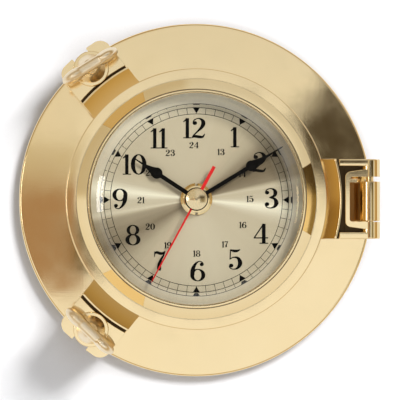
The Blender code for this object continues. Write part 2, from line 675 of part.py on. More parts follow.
def make_back_cover(bench):
    profile = [(0, COVER_TOP), (BACK_COVER_RADIUS, COVER_TOP), (BACK_COVER_RADIUS, 0), (0, 0)]
    cover = turned(bench, "back_cover", profile, "satin_brass")
    meet = math.acos(KEYHOLE_NECK_RADIUS / KEYHOLE_HEAD_RADIUS)
    top = (0, KEYHOLE_HEIGHT + KEYHOLE_NECK_RISE)
    keyhole = arc(top, KEYHOLE_NECK_RADIUS, 0, math.pi, ARC_STEPS + 3)
    head = (0, KEYHOLE_HEIGHT)
    keyhole += arc(head, KEYHOLE_HEAD_RADIUS, math.pi - meet, FULL_TURN + meet, SMALL_STEPS - 1)
    through = COVER_TOP + OVERRUN
    cut(cover, bench.add("keyhole", plate_mesh("keyhole", [keyhole], -OVERRUN, through)))
    head_depth = COVER_SCREW_HEAD_HEIGHT + FIT
    for number, x, y in cover_screw_places():
        name = f"back_cover_screw_{number}"
        seat = COVER_SCREW_HEAD_RADIUS + FIT
        drill(bench, cover, name + "_seat", x, y, seat, -OVERRUN, head_depth, steps=TINY_STEPS)
        hole = COVER_SCREW_RADIUS + FIT
        drill(bench, cover, name + "_hole", x, y, hole, -OVERRUN, through, steps=TINY_STEPS)
        sizes = (COVER_SCREW_RADIUS, COVER_SCREW_HEAD_RADIUS, COVER_SCREW_HEAD_HEIGHT)
        slotted_screw(bench, name, *sizes, COVER_SCREW_LENGTH, 0, x, y)


def make_hinge_post(bench):
    """The fixed leaf: a foot on the flange, a stem, and the centre knuckle round the pin."""
    left = HINGE_AXIS_X - KNUCKLE_RADIUS
    axis = (HINGE_AXIS_X, HINGE_AXIS_Z)
    heel_angle = -math.acos((POST_HEEL - HINGE_AXIS_X) / KNUCKLE_RADIUS)
    foot_top = FLANGE_SEAT + POST_FOOT_THICKNESS
    outline = [(POST_FOOT_LEFT, FLANGE_SEAT), (POST_HEEL, FLANGE_SEAT)]
    outline += arc(axis, KNUCKLE_RADIUS, heel_angle, math.pi, SMALL_STEPS // 2)
    outline += [(left, foot_top), (POST_FOOT_LEFT, foot_top)]
    bottom, top = -CENTRE_KNUCKLE_TOP, -CENTRE_KNUCKLE_BOTTOM
    mesh = plate_mesh("hinge_post", [outline, circle(axis, PIN_RADIUS + FIT)], bottom, top, SIDE_VIEW)
    post = bench.add("hinge_post", mesh, "polished_brass")
    hole_top = LUG_SCREW_LENGTH + 2 * FIT
    hole = LUG_SCREW_RADIUS + FIT
    drill(bench, post, "hinge_post_tapping", POST_SCREW_X, 0, hole, 0, hole_top, steps=TINY_STEPS)
    sizes = (LUG_SCREW_RADIUS, LUG_SCREW_HEAD_RADIUS, LUG_SCREW_HEAD_HEIGHT)
    length = LUG_SCREW_LENGTH - FIT
    slotted_screw(bench, "hinge_post_screw", *sizes, length, FIT, POST_SCREW_X, 0)
    half = HINGE_LUG_HALF_WIDTH - PIN_END_INSET
    pin = rod_mesh("hinge_pin", PIN_RADIUS, -half, half, SMALL_STEPS, ALONG_Y)
    bench.add("hinge_pin", pin, "polished_brass", parent=bench.hinge)


def rounded_tongue(start, end, half_width, corner):
    """A rectangle from x=start to x=end whose two outer corners are rounded."""
    inset = end - corner
    across = half_width - corner
    points = [(start, -half_width)]
    points += arc((inset, -across), corner, -QUARTER_TURN, 0)
    points += arc((inset, across), corner, 0, QUARTER_TURN)
    points.append((start, half_width))
    return points


def make_dog_lugs(bench):
    """The two blocks on the flange that the wing screws pull the door's ears down to."""
    bore = WING_SCREW_RADIUS + SCREW_CLEARANCE
    bore_floor = DOG_LUG_TOP - WING_SCREW_ENGAGEMENT - WING_SCREW_RUN_OUT
    for side, frame in lug_frames(bench):
        outline = rounded_tongue(DOG_LUG_START, DOG_LUG_END, DOG_HALF_WIDTH, DOG_CORNER_RADIUS)
        name = side + "_dog_lug"
        lug_mesh = plate_mesh(name, [outline], FLANGE_SEAT, DOG_LUG_TOP)
        lug = bench.add(name, lug_mesh, "polished_brass", parent=frame)
        top = DOG_LUG_TOP + OVERRUN
        drill(bench, lug, name + "_bore", DOG_SCREW_X, 0, bore, bore_floor, top, frame)
        hole = LUG_SCREW_RADIUS + FIT
        hole_top = LUG_SCREW_LENGTH + 2 * FIT
        drill(bench, lug, name + "_tapping", LUG_SCREW_X, 0, hole, 0, hole_top, frame, TINY_STEPS)
        sizes = (LUG_SCREW_RADIUS, LUG_SCREW_HEAD_RADIUS, LUG_SCREW_HEAD_HEIGHT)
        length = LUG_SCREW_LENGTH - FIT
        slotted_screw(bench, name + "_screw", *sizes, length, FIT, LUG_SCREW_X, 0, frame)


def make_dial(bench):
    """The dial, the ring that keeps it down, its rubber washer and the nut on the bushing."""
    hole = BUSHING_RADIUS + FIT
    plate = ring_profile(hole, DIAL_RADIUS, DIAL_BACK, DIAL_FRONT)
    turned(bench, "dial_plate", plate, "silver_dial")
    back = DIAL_FRONT + FIT
    ring = ring_profile(DIAL_RADIUS - DIAL_RING_WIDTH, DIAL_RADIUS, back, back + DIAL_RING_HEIGHT)
    turned(bench, "dial_retaining_ring", ring, "satin_brass", HIDDEN_RING_STEPS)
    front = WASHER_BACK + DIAL_WASHER_THICKNESS
    washer = ring_profile(hole, DIAL_WASHER_RADIUS, WASHER_BACK, front)
    turned(bench, "dial_washer", washer, "black_rubber", SMALL_STEPS)
    body = ring_profile(hole, DIAL_NUT_RADIUS, NUT_BACK, NUT_FRONT)
    nut = turned(bench, "dial_nut", body, "polished_brass", SMALL_STEPS)
    for name, end in (("top", 1), ("bottom", -1)):
        inner = end * (DIAL_NUT_RADIUS - NUT_NOTCH_DEPTH)
        outer = end * (DIAL_NUT_RADIUS + OVERRUN)
        low = (-NUT_NOTCH_WIDTH / 2, min(inner, outer), NUT_BACK - OVERRUN)
        high = (NUT_NOTCH_WIDTH / 2, max(inner, outer), NUT_FRONT + OVERRUN)
        notch = bench.add(f"nut_notch_{name}", box_mesh("nut_notch", low, high))
        cut(nut, notch)


def make_movement_case(bench):
    """The moulded box with a gear room, an open battery bay and the bushing on its front."""
    half = MOVEMENT_HALF_WIDTH
    inside = INSIDE_HALF_WIDTH
    low = (-half, MOVEMENT_BOTTOM, MOVEMENT_BACK)
    box = box_mesh("movement_case", low, (half, MOVEMENT_TOP, MOVEMENT_FRONT))
    case = bench.add("movement_case", box, "black_plastic")
    low = (-inside, GEAR_ROOM_BOTTOM, 0)
    room = box_mesh("gear_room", low, (inside, INSIDE_TOP, GEAR_ROOM_FRONT))
    cut(case, bench.add("gear_room", room))
    low = (-inside, BATTERY_BAY_BOTTOM, 0)
    bay = box_mesh("battery_bay", low, (inside, BATTERY_BAY_TOP, GEAR_ROOM_FRONT))
    cut(case, bench.add("battery_bay", bay))
    bushing = rod_mesh("bushing", BUSHING_RADIUS, GEAR_ROOM_FRONT + FIT, NUT_FRONT)
    join(case, bench.add("bushing", bushing))
    bore = HOUR_PIPE_RADIUS + FIT
    drill(bench, case, "bushing_bore", 0, 0, bore, GEAR_ROOM_FRONT - OVERRUN, NUT_FRONT + OVERRUN)


def make_rear_cover(bench):
    half = INSIDE_HALF_WIDTH - FIT
    back = MOVEMENT_BACK + REAR_COVER_INSET
    low = (-half, GEAR_ROOM_BOTTOM + FIT, back)
    box = box_mesh("movement_rear_cover", low, (half, INSIDE_TOP - FIT, GEAR_ROOM_BACK))
    cover = bench.add("movement_rear_cover", box, "black_plastic")
    x, y = setting_place()
    hole = SETTING_STEM_RADIUS + FIT
    span = (back - OVERRUN, GEAR_ROOM_BACK + OVERRUN)
    drill(bench, cover, "setting_stem_hole", x, y, hole, *span, steps=TINY_STEPS)


def battery_height():
    return MOVEMENT_BACK + FIT + BATTERY_RADIUS


def battery_line():
    return (BATTERY_BAY_TOP + BATTERY_BAY_BOTTOM) / 2


def make_battery(bench):
    """The cell, lying along X, and a contact blade at each of its ends."""
    inside = INSIDE_HALF_WIDTH
    blade = inside - FIT - CONTACT_THICKNESS
    tip = blade - FIT
    shoulder = tip - BATTERY_NUB_LENGTH
    end = shoulder - BATTERY_BODY_LENGTH
    place = {"location": (0, battery_line(), battery_height())}
    body = rod_mesh("battery", BATTERY_RADIUS, end, shoulder, SMALL_STEPS, ALONG_X)
    battery = bench.add("battery", body, "battery_wrap", **place)
    nub = rod_mesh("battery_nub", BATTERY_NUB_RADIUS, shoulder - OVERRUN, tip, TINY_STEPS, ALONG_X)
    join(battery, bench.add("battery_nub", nub, **place))
    width = CONTACT_WIDTH / 2
    height = CONTACT_HEIGHT / 2
    high = (blade + CONTACT_THICKNESS, width, height)
    plus = box_mesh("battery_contact_plus", (blade, -width, -height), high)
    bench.add("battery_contact_plus", plus, "steel", **place)
    face = -inside + FIT + CONTACT_THICKNESS
    minus = box_mesh("battery_contact_minus", (-inside + FIT, -width, -height), (face, width, height))
    contact = bench.add("battery_contact_minus", minus, "steel", **place)
    base, tip = CONTACT_CONE_RADIUS, BATTERY_NUB_RADIUS
    spring = rod_mesh("contact_spring", base, face - FIT / 2, end - FIT, TINY_STEPS, ALONG_X, tip)
    join(contact, bench.add("contact_spring", spring, **place))


def from_centre(distance, direction, start=(0, 0)):
    return (start[0] + distance * math.cos(direction), start[1] + distance * math.sin(direction))


def intermediate_place():
    return from_centre(INTERMEDIATE_DISTANCE, INTERMEDIATE_DIRECTION)


def rotor_place():
    return from_centre(ROTOR_DISTANCE, ROTOR_DIRECTION, intermediate_place())


def third_place():
    return from_centre(THIRD_DISTANCE, THIRD_DIRECTION)


def motion_place():
    return from_centre(MOTION_DISTANCE, MOTION_DIRECTION)


def setting_place():
    return from_centre(SETTING_DISTANCE, SETTING_DIRECTION, motion_place())


def stator_back():
    return SECONDS_WHEEL_BACK + WHEEL_CLEARANCE


def make_motor(bench):
    """The stator's closed core with its coil, the circuit board and the quartz can."""
    back = stator_back()
    front = back + STATOR_THICKNESS
    rotor_x, rotor_y = rotor_place()
    left = STATOR_SIDE_GAP - INSIDE_HALF_WIDTH
    right = rotor_x + POLE_PAST_ROTOR
    bottom = rotor_y - POLE_BELOW_ROTOR
    top = INSIDE_TOP - STATOR_TOP_GAP
    outer = [(left, bottom), (right, bottom), (right, top), (left, top)]
    window_bottom = rotor_y + POLE_ABOVE_ROTOR
    window_top = top - CORE_WIDTH
    window = [(left + CORE_WIDTH, window_bottom), (right - CORE_ARM_WIDTH, window_bottom)]
    window += [(right - CORE_ARM_WIDTH, window_top), (left + CORE_WIDTH, window_top)]
    hole = circle((rotor_x, rotor_y), ROTOR_MAGNET_RADIUS + STATOR_HOLE_CLEARANCE)
    bench.add("stator", plate_mesh("stator", [outer, window, hole], back, front), "steel")
    core_x = left + CORE_WIDTH / 2
    middle = (window_bottom + window_top) / 2
    level = (back + front) / 2
    half = COIL_LENGTH / 2
    rings = [circle((0, 0), COIL_RADIUS, TINY_STEPS), circle((0, 0), COIL_BORE_RADIUS, TINY_STEPS)]
    coil = plate_mesh("coil", rings, -half, half, ALONG_Y)
    bench.add("coil", coil, "copper", location=(core_x, middle, level))
    board_back = level + COIL_RADIUS + BOARD_ABOVE_COIL
    board_front = board_back + BOARD_THICKNESS
    board_left = BOARD_SIDE_GAP - INSIDE_HALF_WIDTH
    board_right = board_left + BOARD_WIDTH
    board_top = INSIDE_TOP - BOARD_TOP_GAP
    low = (board_left, board_top - BOARD_LENGTH, board_back)
    board = box_mesh("circuit_board", low, (board_right, board_top, board_front))
    bench.add("circuit_board", board, "circuit_green")
    can = rod_mesh("quartz_can", CRYSTAL_RADIUS, 0, CRYSTAL_LENGTH, TINY_STEPS, ALONG_Y)
    spot = ((board_left + board_right) / 2, middle, board_front + CRYSTAL_RADIUS + FIT)
    bench.add("quartz_can", can, "steel", location=spot)


def toothed_outline(teeth, module, phase):
    """The edge of a wheel or a pinion, one tooth centred on the angle `phase`.

    A pinion's leaves stand on a flat root; between a wheel's teeth the gap is a V.
    """
    pitch = teeth * module / 2
    tip = pitch + TOOTH_TIP * module
    if teeth < LEAF_LIMIT:
        root = pitch - LEAF_ROOT * module
        corners = [(root, -LEAF_ROOT_SHARE), (tip, -LEAF_TIP_SHARE)]
        corners += [(tip, LEAF_TIP_SHARE), (root, LEAF_ROOT_SHARE)]
    else:
        root = pitch - WHEEL_ROOT * module
        corners = [(root, -1), (tip, -WHEEL_TIP_SHARE), (tip, WHEEL_TIP_SHARE)]
    half = math.pi / teeth
    points = []
    for tooth in range(teeth):
        middle = phase + tooth * FULL_TURN / teeth
        for radius, share in corners:
            angle = middle + half * share
            points.append((radius * math.cos(angle), radius * math.sin(angle)))
    return points


def facing_gap(direction, teeth, other_phase=None, other_teeth=1):
    """The phase of a wheel whose gap meets the tooth of a partner that lies back along `direction`.

    The partner has a tooth on the line between them, unless its own phase is given.
    """
    phase = direction + math.pi + math.pi / teeth
    if other_phase is not None:
        phase -= (other_phase - direction) * other_teeth / teeth
    return phase


def make_arbor(bench, name, place, finish, sections, bore=0.0):
    """Joins the sections of one arbor: rods of (radius, back, front) and toothed plates."""
    location = (place[0], place[1], 0)
    arbor = None
    for number, section in enumerate(sections):
        label = name if arbor is None else f"{name}_section_{number}"
        back, front = section["span"]
        if "teeth" in section:
            edge = toothed_outline(section["teeth"], section["module"], section["phase"])
            mesh = plate_mesh(label, [edge], back, front)
        else:
            mesh = rod_mesh(label, section["radius"], back, front, section.get("steps", TINY_STEPS))
        if arbor is None:
            arbor = bench.add(label, mesh, finish, location=location)
        else:
            join(arbor, bench.add(label, mesh, location=location))
    if bore:
        low = min(section["span"][0] for section in sections) - OVERRUN
        high = max(section["span"][1] for section in sections) + OVERRUN
        drill(bench, arbor, name + "_bore", place[0], place[1], bore, low, high, steps=TINY_STEPS)
    return arbor


def toothed(teeth, module, phase, back, thickness=WHEEL_THICKNESS):
    return {"teeth": teeth, "module": module, "phase": phase, "span": (back, back + thickness)}


def shaft(radius, back, front):
    return {"radius": radius, "span": (back, front)}


def make_seconds_train(bench):
    """Rotor, intermediate wheel, seconds arbor, third wheel and the slipping centre wheel."""
    pivot_back = GEAR_ROOM_BACK + FIT
    wheel = INTERMEDIATE_WHEEL_BACK
    seconds = SECONDS_WHEEL_BACK
    third = THIRD_WHEEL_BACK
    centre = CENTRE_WHEEL_BACK
    thick = WHEEL_THICKNESS

    rotor_phase = ROTOR_DIRECTION + math.pi
    magnet_back = stator_back() + STATOR_THICKNESS / 2 - ROTOR_MAGNET_HEIGHT / 2
    magnet_front = magnet_back + ROTOR_MAGNET_HEIGHT
    pinion = toothed(ROTOR_LEAVES, ROTOR_MODULE, rotor_phase, wheel - FIT / 2, thick + FIT)
    rotor = [pinion, shaft(PIVOT_RADIUS, pivot_back, magnet_front + PIVOT_PAST_MAGNET)]
    rotor.append(shaft(ROTOR_MAGNET_RADIUS, magnet_back, magnet_front))
    make_arbor(bench, "rotor", rotor_place(), "steel", rotor)

    phase = facing_gap(ROTOR_DIRECTION + math.pi, INTERMEDIATE_TEETH)
    leaf_phase = INTERMEDIATE_DIRECTION + math.pi
    leaves_back = wheel + thick / 2
    leaves = seconds + thick + FIT - leaves_back
    sections = [toothed(INTERMEDIATE_TEETH, ROTOR_MODULE, phase, wheel)]
    sections.append(toothed(INTERMEDIATE_LEAVES, SECONDS_MODULE, leaf_phase, leaves_back, leaves))
    sections.append(shaft(PIVOT_RADIUS, pivot_back, seconds + 2 * thick))
    make_arbor(bench, "intermediate_wheel", intermediate_place(), "white_plastic", sections)

    phase = facing_gap(INTERMEDIATE_DIRECTION + math.pi, SECONDS_TEETH)
    leaves_back = seconds + thick / 2
    leaves = third + thick + FIT / 2 - leaves_back
    sections = [toothed(SECONDS_TEETH, SECONDS_MODULE, phase, seconds)]
    sections.append(toothed(SECONDS_LEAVES, THIRD_MODULE, THIRD_DIRECTION, leaves_back, leaves))
    sections.append(shaft(SECONDS_ARBOR_RADIUS, pivot_back, SECOND_HAND_BACK + HAND_THICKNESS))
    make_arbor(bench, "seconds_arbor", (0, 0), "steel", sections)

    phase = facing_gap(THIRD_DIRECTION, THIRD_TEETH)
    leaves_back = third + thick / 2
    leaves = centre + thick + FIT - leaves_back
    sections = [toothed(THIRD_TEETH, THIRD_MODULE, phase, third)]
    leaf_phase = THIRD_DIRECTION + math.pi
    sections.append(toothed(THIRD_LEAVES, CENTRE_MODULE, leaf_phase, leaves_back, leaves))
    sections.append(shaft(PIVOT_RADIUS, pivot_back, GEAR_ROOM_FRONT - FIT))
    make_arbor(bench, "third_wheel", third_place(), "white_plastic", sections)

    phase = facing_gap(THIRD_DIRECTION + math.pi, CENTRE_TEETH)
    sections = [toothed(CENTRE_TEETH, CENTRE_MODULE, phase, centre)]
    make_arbor(bench, "centre_wheel", (0, 0), "white_plastic", sections, CANNON_RADIUS + FIT)


def make_motion_work(bench):
    """Cannon pinion, motion wheel, hour wheel and the stem that sets the time."""
    thick = WHEEL_THICKNESS
    motion = MOTION_WHEEL_BACK
    hour = HOUR_WHEEL_BACK
    cannon_back = CENTRE_WHEEL_BACK - FIT
    leaves = toothed(CANNON_LEAVES, CANNON_MODULE, MOTION_DIRECTION, motion - FIT / 2, thick + FIT)
    pipe = shaft(CANNON_RADIUS, cannon_back, MINUTE_HAND_BACK + HAND_THICKNESS)
    bore = CANNON_RADIUS - PIPE_WALL
    make_arbor(bench, "cannon_pinion", (0, 0), "white_plastic", [leaves, pipe], bore)

    phase = facing_gap(MOTION_DIRECTION, MOTION_TEETH)
    leaf_phase = MOTION_DIRECTION + math.pi
    leaves_back = motion + thick / 2
    leaves = hour + thick + FIT - leaves_back
    sections = [toothed(MOTION_TEETH, CANNON_MODULE, phase, motion)]
    sections.append(toothed(MOTION_LEAVES, HOUR_MODULE, leaf_phase, leaves_back, leaves))
    sections.append(shaft(PIVOT_RADIUS, motion - FIT, GEAR_ROOM_FRONT - FIT))
    make_arbor(bench, "motion_wheel", motion_place(), "white_plastic", sections)

    gap = facing_gap(MOTION_DIRECTION + math.pi, HOUR_TEETH)
    sections = [toothed(HOUR_TEETH, HOUR_MODULE, gap, hour)]
    sections.append(shaft(HOUR_PIPE_RADIUS, hour, HOUR_HAND_BACK + HAND_THICKNESS))
    sections[1]["steps"] = SMALL_STEPS
    bore = HOUR_PIPE_RADIUS - PIPE_WALL
    make_arbor(bench, "hour_wheel", (0, 0), "white_plastic", sections, bore)

    knob_back = MOVEMENT_BACK + FIT
    knob = shaft(SETTING_KNOB_RADIUS, knob_back, knob_back + SETTING_KNOB_HEIGHT)
    knob["steps"] = SMALL_STEPS
    setting_phase = facing_gap(SETTING_DIRECTION, SETTING_TEETH, phase, MOTION_TEETH)
    gear = toothed(SETTING_TEETH, CANNON_MODULE, setting_phase, motion - FIT / 2, thick + FIT)
    stem = shaft(SETTING_STEM_RADIUS, knob_back + FIT, GEAR_ROOM_FRONT - FIT)
    make_arbor(bench, "setting_stem", setting_place(), "white_plastic", [knob, stem, gear])


def bulb_hand_outline(length, bulb_at, bulb_radius, shank_half, boss_radius):
    """A hand along +Y: round boss, slim shank, round bulb, then a hollow-sided point."""
    meet = math.asin(shank_half / bulb_radius)
    boss_meet = math.asin(shank_half / boss_radius)
    reach = length - bulb_at
    right = arc((0, 0), boss_radius, -QUARTER_TURN, QUARTER_TURN - boss_meet, 2 * ARC_STEPS)
    right += arc((0, bulb_at), bulb_radius, -QUARTER_TURN + meet, BULB_SHOULDER, ARC_STEPS)
    for share in POINT_SHARES:
        width = HAND_POINT + (bulb_radius - HAND_POINT) * (1 - share) ** 3
        right.append((width, bulb_at + reach * share))
    left = [(-x, y) for x, y in reversed(right[1:])]
    return right + [(0, length)] + left


def second_hand_outline(boss_radius):
    tail = SECOND_HAND_TAIL_WIDTH / 2
    half = SECOND_HAND_WIDTH / 2
    tail_meet = math.asin(tail / boss_radius)
    meet = math.asin(half / boss_radius)
    points = [(-tail, -SECOND_HAND_TAIL), (tail, -SECOND_HAND_TAIL)]
    points += arc((0, 0), boss_radius, -QUARTER_TURN + tail_meet, QUARTER_TURN - meet, ARC_STEPS)
    points += [(half / 2, SECOND_HAND_LENGTH), (-half / 2, SECOND_HAND_LENGTH)]
    points += arc((0, 0), boss_radius, QUARTER_TURN + meet, 1.5 * math.pi - tail_meet, ARC_STEPS)
    return points


def add_hand(bench, name, outline, hole_radius, back, angle, finish):
    loops = [outline, circle((0, 0), hole_radius, TINY_STEPS)]
    mesh = plate_mesh(name, loops, 0, HAND_THICKNESS)
    bench.add(name, mesh, finish, location=(0, 0, back), turn=-angle)


def make_hands(bench):
    hole = HOUR_PIPE_RADIUS + FIT
    boss = hole + HAND_BOSS_MARGIN
    sizes = (HOUR_HAND_LENGTH, HOUR_HAND_BULB_AT, HOUR_HAND_BULB_RADIUS, HOUR_HAND_SHANK / 2)
    outline = bulb_hand_outline(*sizes, boss)
    add_hand(bench, "hour_hand", outline, hole, HOUR_HAND_BACK, HOUR_HAND_ANGLE, "black_paint")
    hole = CANNON_RADIUS + FIT
    boss = hole + HAND_BOSS_MARGIN
    sizes = (MINUTE_HAND_LENGTH, MINUTE_HAND_BULB_AT, MINUTE_HAND_BULB_RADIUS, MINUTE_HAND_SHANK / 2)
    outline = bulb_hand_outline(*sizes, boss)
    add_hand(bench, "minute_hand", outline, hole, MINUTE_HAND_BACK, MINUTE_HAND_ANGLE, "black_paint")
    hole = SECONDS_ARBOR_RADIUS + FIT
    outline = second_hand_outline(hole + HAND_BOSS_MARGIN)
    add_hand(bench, "second_hand", outline, hole, SECOND_HAND_BACK, SECOND_HAND_ANGLE, "red_paint")
    rise = CAP_HEIGHT - CAP_RIM
    dome = []
    for i in range(ARC_STEPS + 1):
        angle = QUARTER_TURN * (1 - i / ARC_STEPS)
        dome.append((CAP_RADIUS * math.cos(angle), CAP_BACK + CAP_RIM + rise * math.sin(angle)))
    dome[0] = (0, CAP_FRONT)
    dome += [(CAP_RADIUS, CAP_BACK), (0, CAP_BACK)]
    turned(bench, "centre_cap", dome, "polished_brass", SMALL_STEPS)


def crest_profile(crest_radius):
    """A cove that climbs from the door's edge to the crest, then drops straight."""
    start, end = COVE_START, COVE_END
    foot = BAND_FRONT - CREST_ROOT_DROP
    reach = crest_radius - CREST_WIDTH - CREST_ROOT_RADIUS
    points = []
    for i in range(COVE_STEPS + 1):
        angle = start + (end - start) * i / COVE_STEPS
        run = (math.sin(angle) - math.sin(start)) / (math.sin(end) - math.sin(start))
        climb = (math.cos(start) - math.cos(angle)) / (math.cos(start) - math.cos(end))
        points.append((CREST_ROOT_RADIUS + reach * run, foot + (CREST_FRONT - foot) * climb))
    root = (LUG_ROOT_RADIUS, BAND_FRONT - FIT)
    ends = [(crest_radius, CREST_FRONT), (crest_radius, LUG_BACK), (LUG_ROOT_RADIUS, LUG_BACK)]
    return [root] + points + ends


def join_crest(bench, door, name, crest_radius, half_width, frame):
    crest = turned(bench, name + "_crest", crest_profile(crest_radius), parent=frame)
    low = (0, -half_width, LUG_BACK - OVERRUN)
    high = (crest_radius + OVERRUN, half_width, CREST_FRONT + OVERRUN)
    keep_inside(crest, bench.add(name + "_crest_span", box_mesh("span", low, high), parent=frame))
    join(door, crest)


def join_hinge_lug(bench, door):
    """The door's half of the hinge: plate, rails, bead round the window, and two knuckles."""
    half = HINGE_LUG_HALF_WIDTH
    join_crest(bench, door, "hinge", HINGE_CREST_RADIUS, half, bench.frame)
    plate_front = LUG_BACK + HINGE_PLATE_THICKNESS
    low = (LUG_ROOT_RADIUS, -half, LUG_BACK)
    web = box_mesh("hinge_web", low, (HINGE_SLOT_END + OVERRUN, half, SLOT_FLOOR))
    join(door, bench.add("hinge_web", web))
    plate = box_mesh("hinge_plate", (HINGE_SLOT_END, -half, LUG_BACK), (HINGE_AXIS_X, half, plate_front))
    join(door, bench.add("hinge_plate", plate))
    knuckle = rod_mesh("hinge_knuckles", KNUCKLE_RADIUS, -half, half, SMALL_STEPS, ALONG_Y)
    join(door, bench.add("hinge_knuckles", knuckle, parent=bench.hinge))

    rail_front = plate_front + RAIL_RISE
    for name, side in (("upper", 1), ("lower", -1)):
        inner = side * (half - RAIL_WIDTH)
        outer = side * half
        low = (HINGE_CREST_RADIUS - CREST_WIDTH, min(inner, outer), LUG_BACK + FIT)
        high = (HINGE_AXIS_X - FIT, max(inner, outer), rail_front)
        join(door, bench.add(f"hinge_rail_{name}", box_mesh("rail", low, high)))
    arm_end = HINGE_AXIS_X - FIT
    flare = BEAD_WIDTH + BEAD_ARM_FLARE
    outline = [(WINDOW_LEFT - BEAD_WIDTH, WINDOW_BOTTOM - BEAD_WIDTH), (arm_end, WINDOW_BOTTOM - flare)]
    outline += [(arm_end, WINDOW_TOP + flare), (WINDOW_LEFT - BEAD_WIDTH, WINDOW_TOP + BEAD_WIDTH)]
    bead = plate_mesh("hinge_bead", [outline], LUG_BACK + FIT, rail_front)
    join(door, bench.add("hinge_bead", bead))

    low = (WINDOW_LEFT, WINDOW_BOTTOM, LUG_BACK - KNUCKLE_RADIUS)
    high = (HINGE_AXIS_X + KNUCKLE_RADIUS + OVERRUN, WINDOW_TOP, CREST_FRONT)
    cut(door, bench.add("hinge_window", box_mesh("hinge_window", low, high)))
    ends = (-half - OVERRUN, half + OVERRUN)
    bore = rod_mesh("hinge_bore", PIN_RADIUS + FIT, *ends, SMALL_STEPS, ALONG_Y)
    cut(door, bench.add("hinge_bore", bore, parent=bench.hinge))


def join_dog_ear(bench, door, side, frame):
    """A forked ear on the door's edge that a wing screw passes through."""
    half = DOG_HALF_WIDTH
    join_crest(bench, door, side + "_dog", DOG_CREST_RADIUS, half, frame)
    web_half = half - FIT
    low = (DOG_WEB_START, -web_half, DOG_PLATE_BACK)
    high = (DOG_PLATE_START + OVERRUN, web_half, DOG_PLATE_FRONT - DOG_SLOT_DEPTH)
    web = box_mesh("dog_web", low, high)
    join(door, bench.add(side + "_dog_web", web, parent=frame))
    edge = rounded_tongue(DOG_PLATE_START, DOG_PLATE_END, half, DOG_CORNER_RADIUS)
    ear = plate_mesh(side + "_dog_ear", [edge], DOG_PLATE_BACK, DOG_PLATE_FRONT)
    join(door, bench.add(side + "_dog_ear", ear, parent=frame))
    fork = arc((DOG_SCREW_X, 0), DOG_FORK_WIDTH / 2, QUARTER_TURN, 1.5 * math.pi, SMALL_STEPS // 2)
    open_end = DOG_PLATE_END + OVERRUN
    fork += [(open_end, -DOG_FORK_WIDTH / 2), (open_end, DOG_FORK_WIDTH / 2)]
    span = (DOG_PLATE_BACK - OVERRUN, DOG_PLATE_FRONT + OVERRUN)
    slot = plate_mesh(side + "_dog_fork", [fork], *span)
    cut(door, bench.add(side + "_dog_fork", slot, parent=frame))


def make_door(bench):
    """The door casting with its lugs, and the glass, gasket and ring inside it."""
    glass_seat = GLASS_RADIUS + FIT
    ring_seat = GLASS_RING_RADIUS + FIT
    step = GLASS_RING_BACK + GLASS_RING_HEIGHT + FIT
    profile = [(LIP_BORE_RADIUS + FIT, LIP_FRONT), (LIP_EDGE_RADIUS, LIP_FRONT)]
    for i in range(1, ARC_STEPS):
        share = i / ARC_STEPS
        sag = COVE_SAG * math.sin(math.pi * share)
        radius = LIP_EDGE_RADIUS + SLOPE_WIDTH * share - sag
        profile.append((radius, LIP_FRONT + (BAND_FRONT - LIP_FRONT) * share - sag))
    profile.append((BAND_INNER_RADIUS, BAND_FRONT))
    corner = (DOOR_RADIUS - DOOR_EDGE_ROUND, BAND_FRONT - DOOR_EDGE_ROUND)
    profile += arc(corner, DOOR_EDGE_ROUND, QUARTER_TURN, 0, 2)
    profile += [(DOOR_RADIUS, DOOR_BACK), (ring_seat, DOOR_BACK), (ring_seat, step), (glass_seat, step)]
    profile += [(glass_seat, LIP_BACK), (LIP_BORE_RADIUS, LIP_BACK), (LIP_BORE_RADIUS, LIP_FRONT - FIT)]
    place = {"parent": bench.hinge, "location": (-HINGE_AXIS_X, 0, -HINGE_AXIS_Z)}
    door = turned(bench, "door_ring", profile, "polished_brass", **place)
    join_hinge_lug(bench, door)
    for side, frame in lug_frames(bench):
        join_dog_ear(bench, door, side, frame)

    flat = GLASS_RADIUS - GLASS_BEVEL_WIDTH
    pane = [(0, GLASS_FRONT), (flat, GLASS_FRONT), (GLASS_RADIUS, GLASS_FRONT - GLASS_BEVEL_DROP)]
    pane += [(GLASS_RADIUS, GLASS_BACK), (0, GLASS_BACK)]
    turned(bench, "glass", pane, "clear_glass", **place)
    front = GLASS_GASKET_BACK + GLASS_GASKET_THICKNESS
    gasket = ring_profile(GLASS_RING_BORE_RADIUS, GLASS_RADIUS, GLASS_GASKET_BACK, front)
    turned(bench, "glass_gasket", gasket, "black_rubber", HIDDEN_RING_STEPS, **place)
    front = GLASS_RING_BACK + GLASS_RING_HEIGHT
    ring = ring_profile(GLASS_RING_BORE_RADIUS, GLASS_RING_RADIUS, GLASS_RING_BACK, front)
    turned(bench, "glass_retaining_ring", ring, "satin_brass", HIDDEN_RING_STEPS, **place)
    front = CASE_GASKET_BACK + CASE_GASKET_THICKNESS
    inner = CASE_GASKET_RADIUS - CASE_GASKET_WIDTH
    seal = ring_profile(inner, CASE_GASKET_RADIUS, CASE_GASKET_BACK, front)
    turned(bench, "case_gasket", seal, "black_rubber", HIDDEN_RING_STEPS)


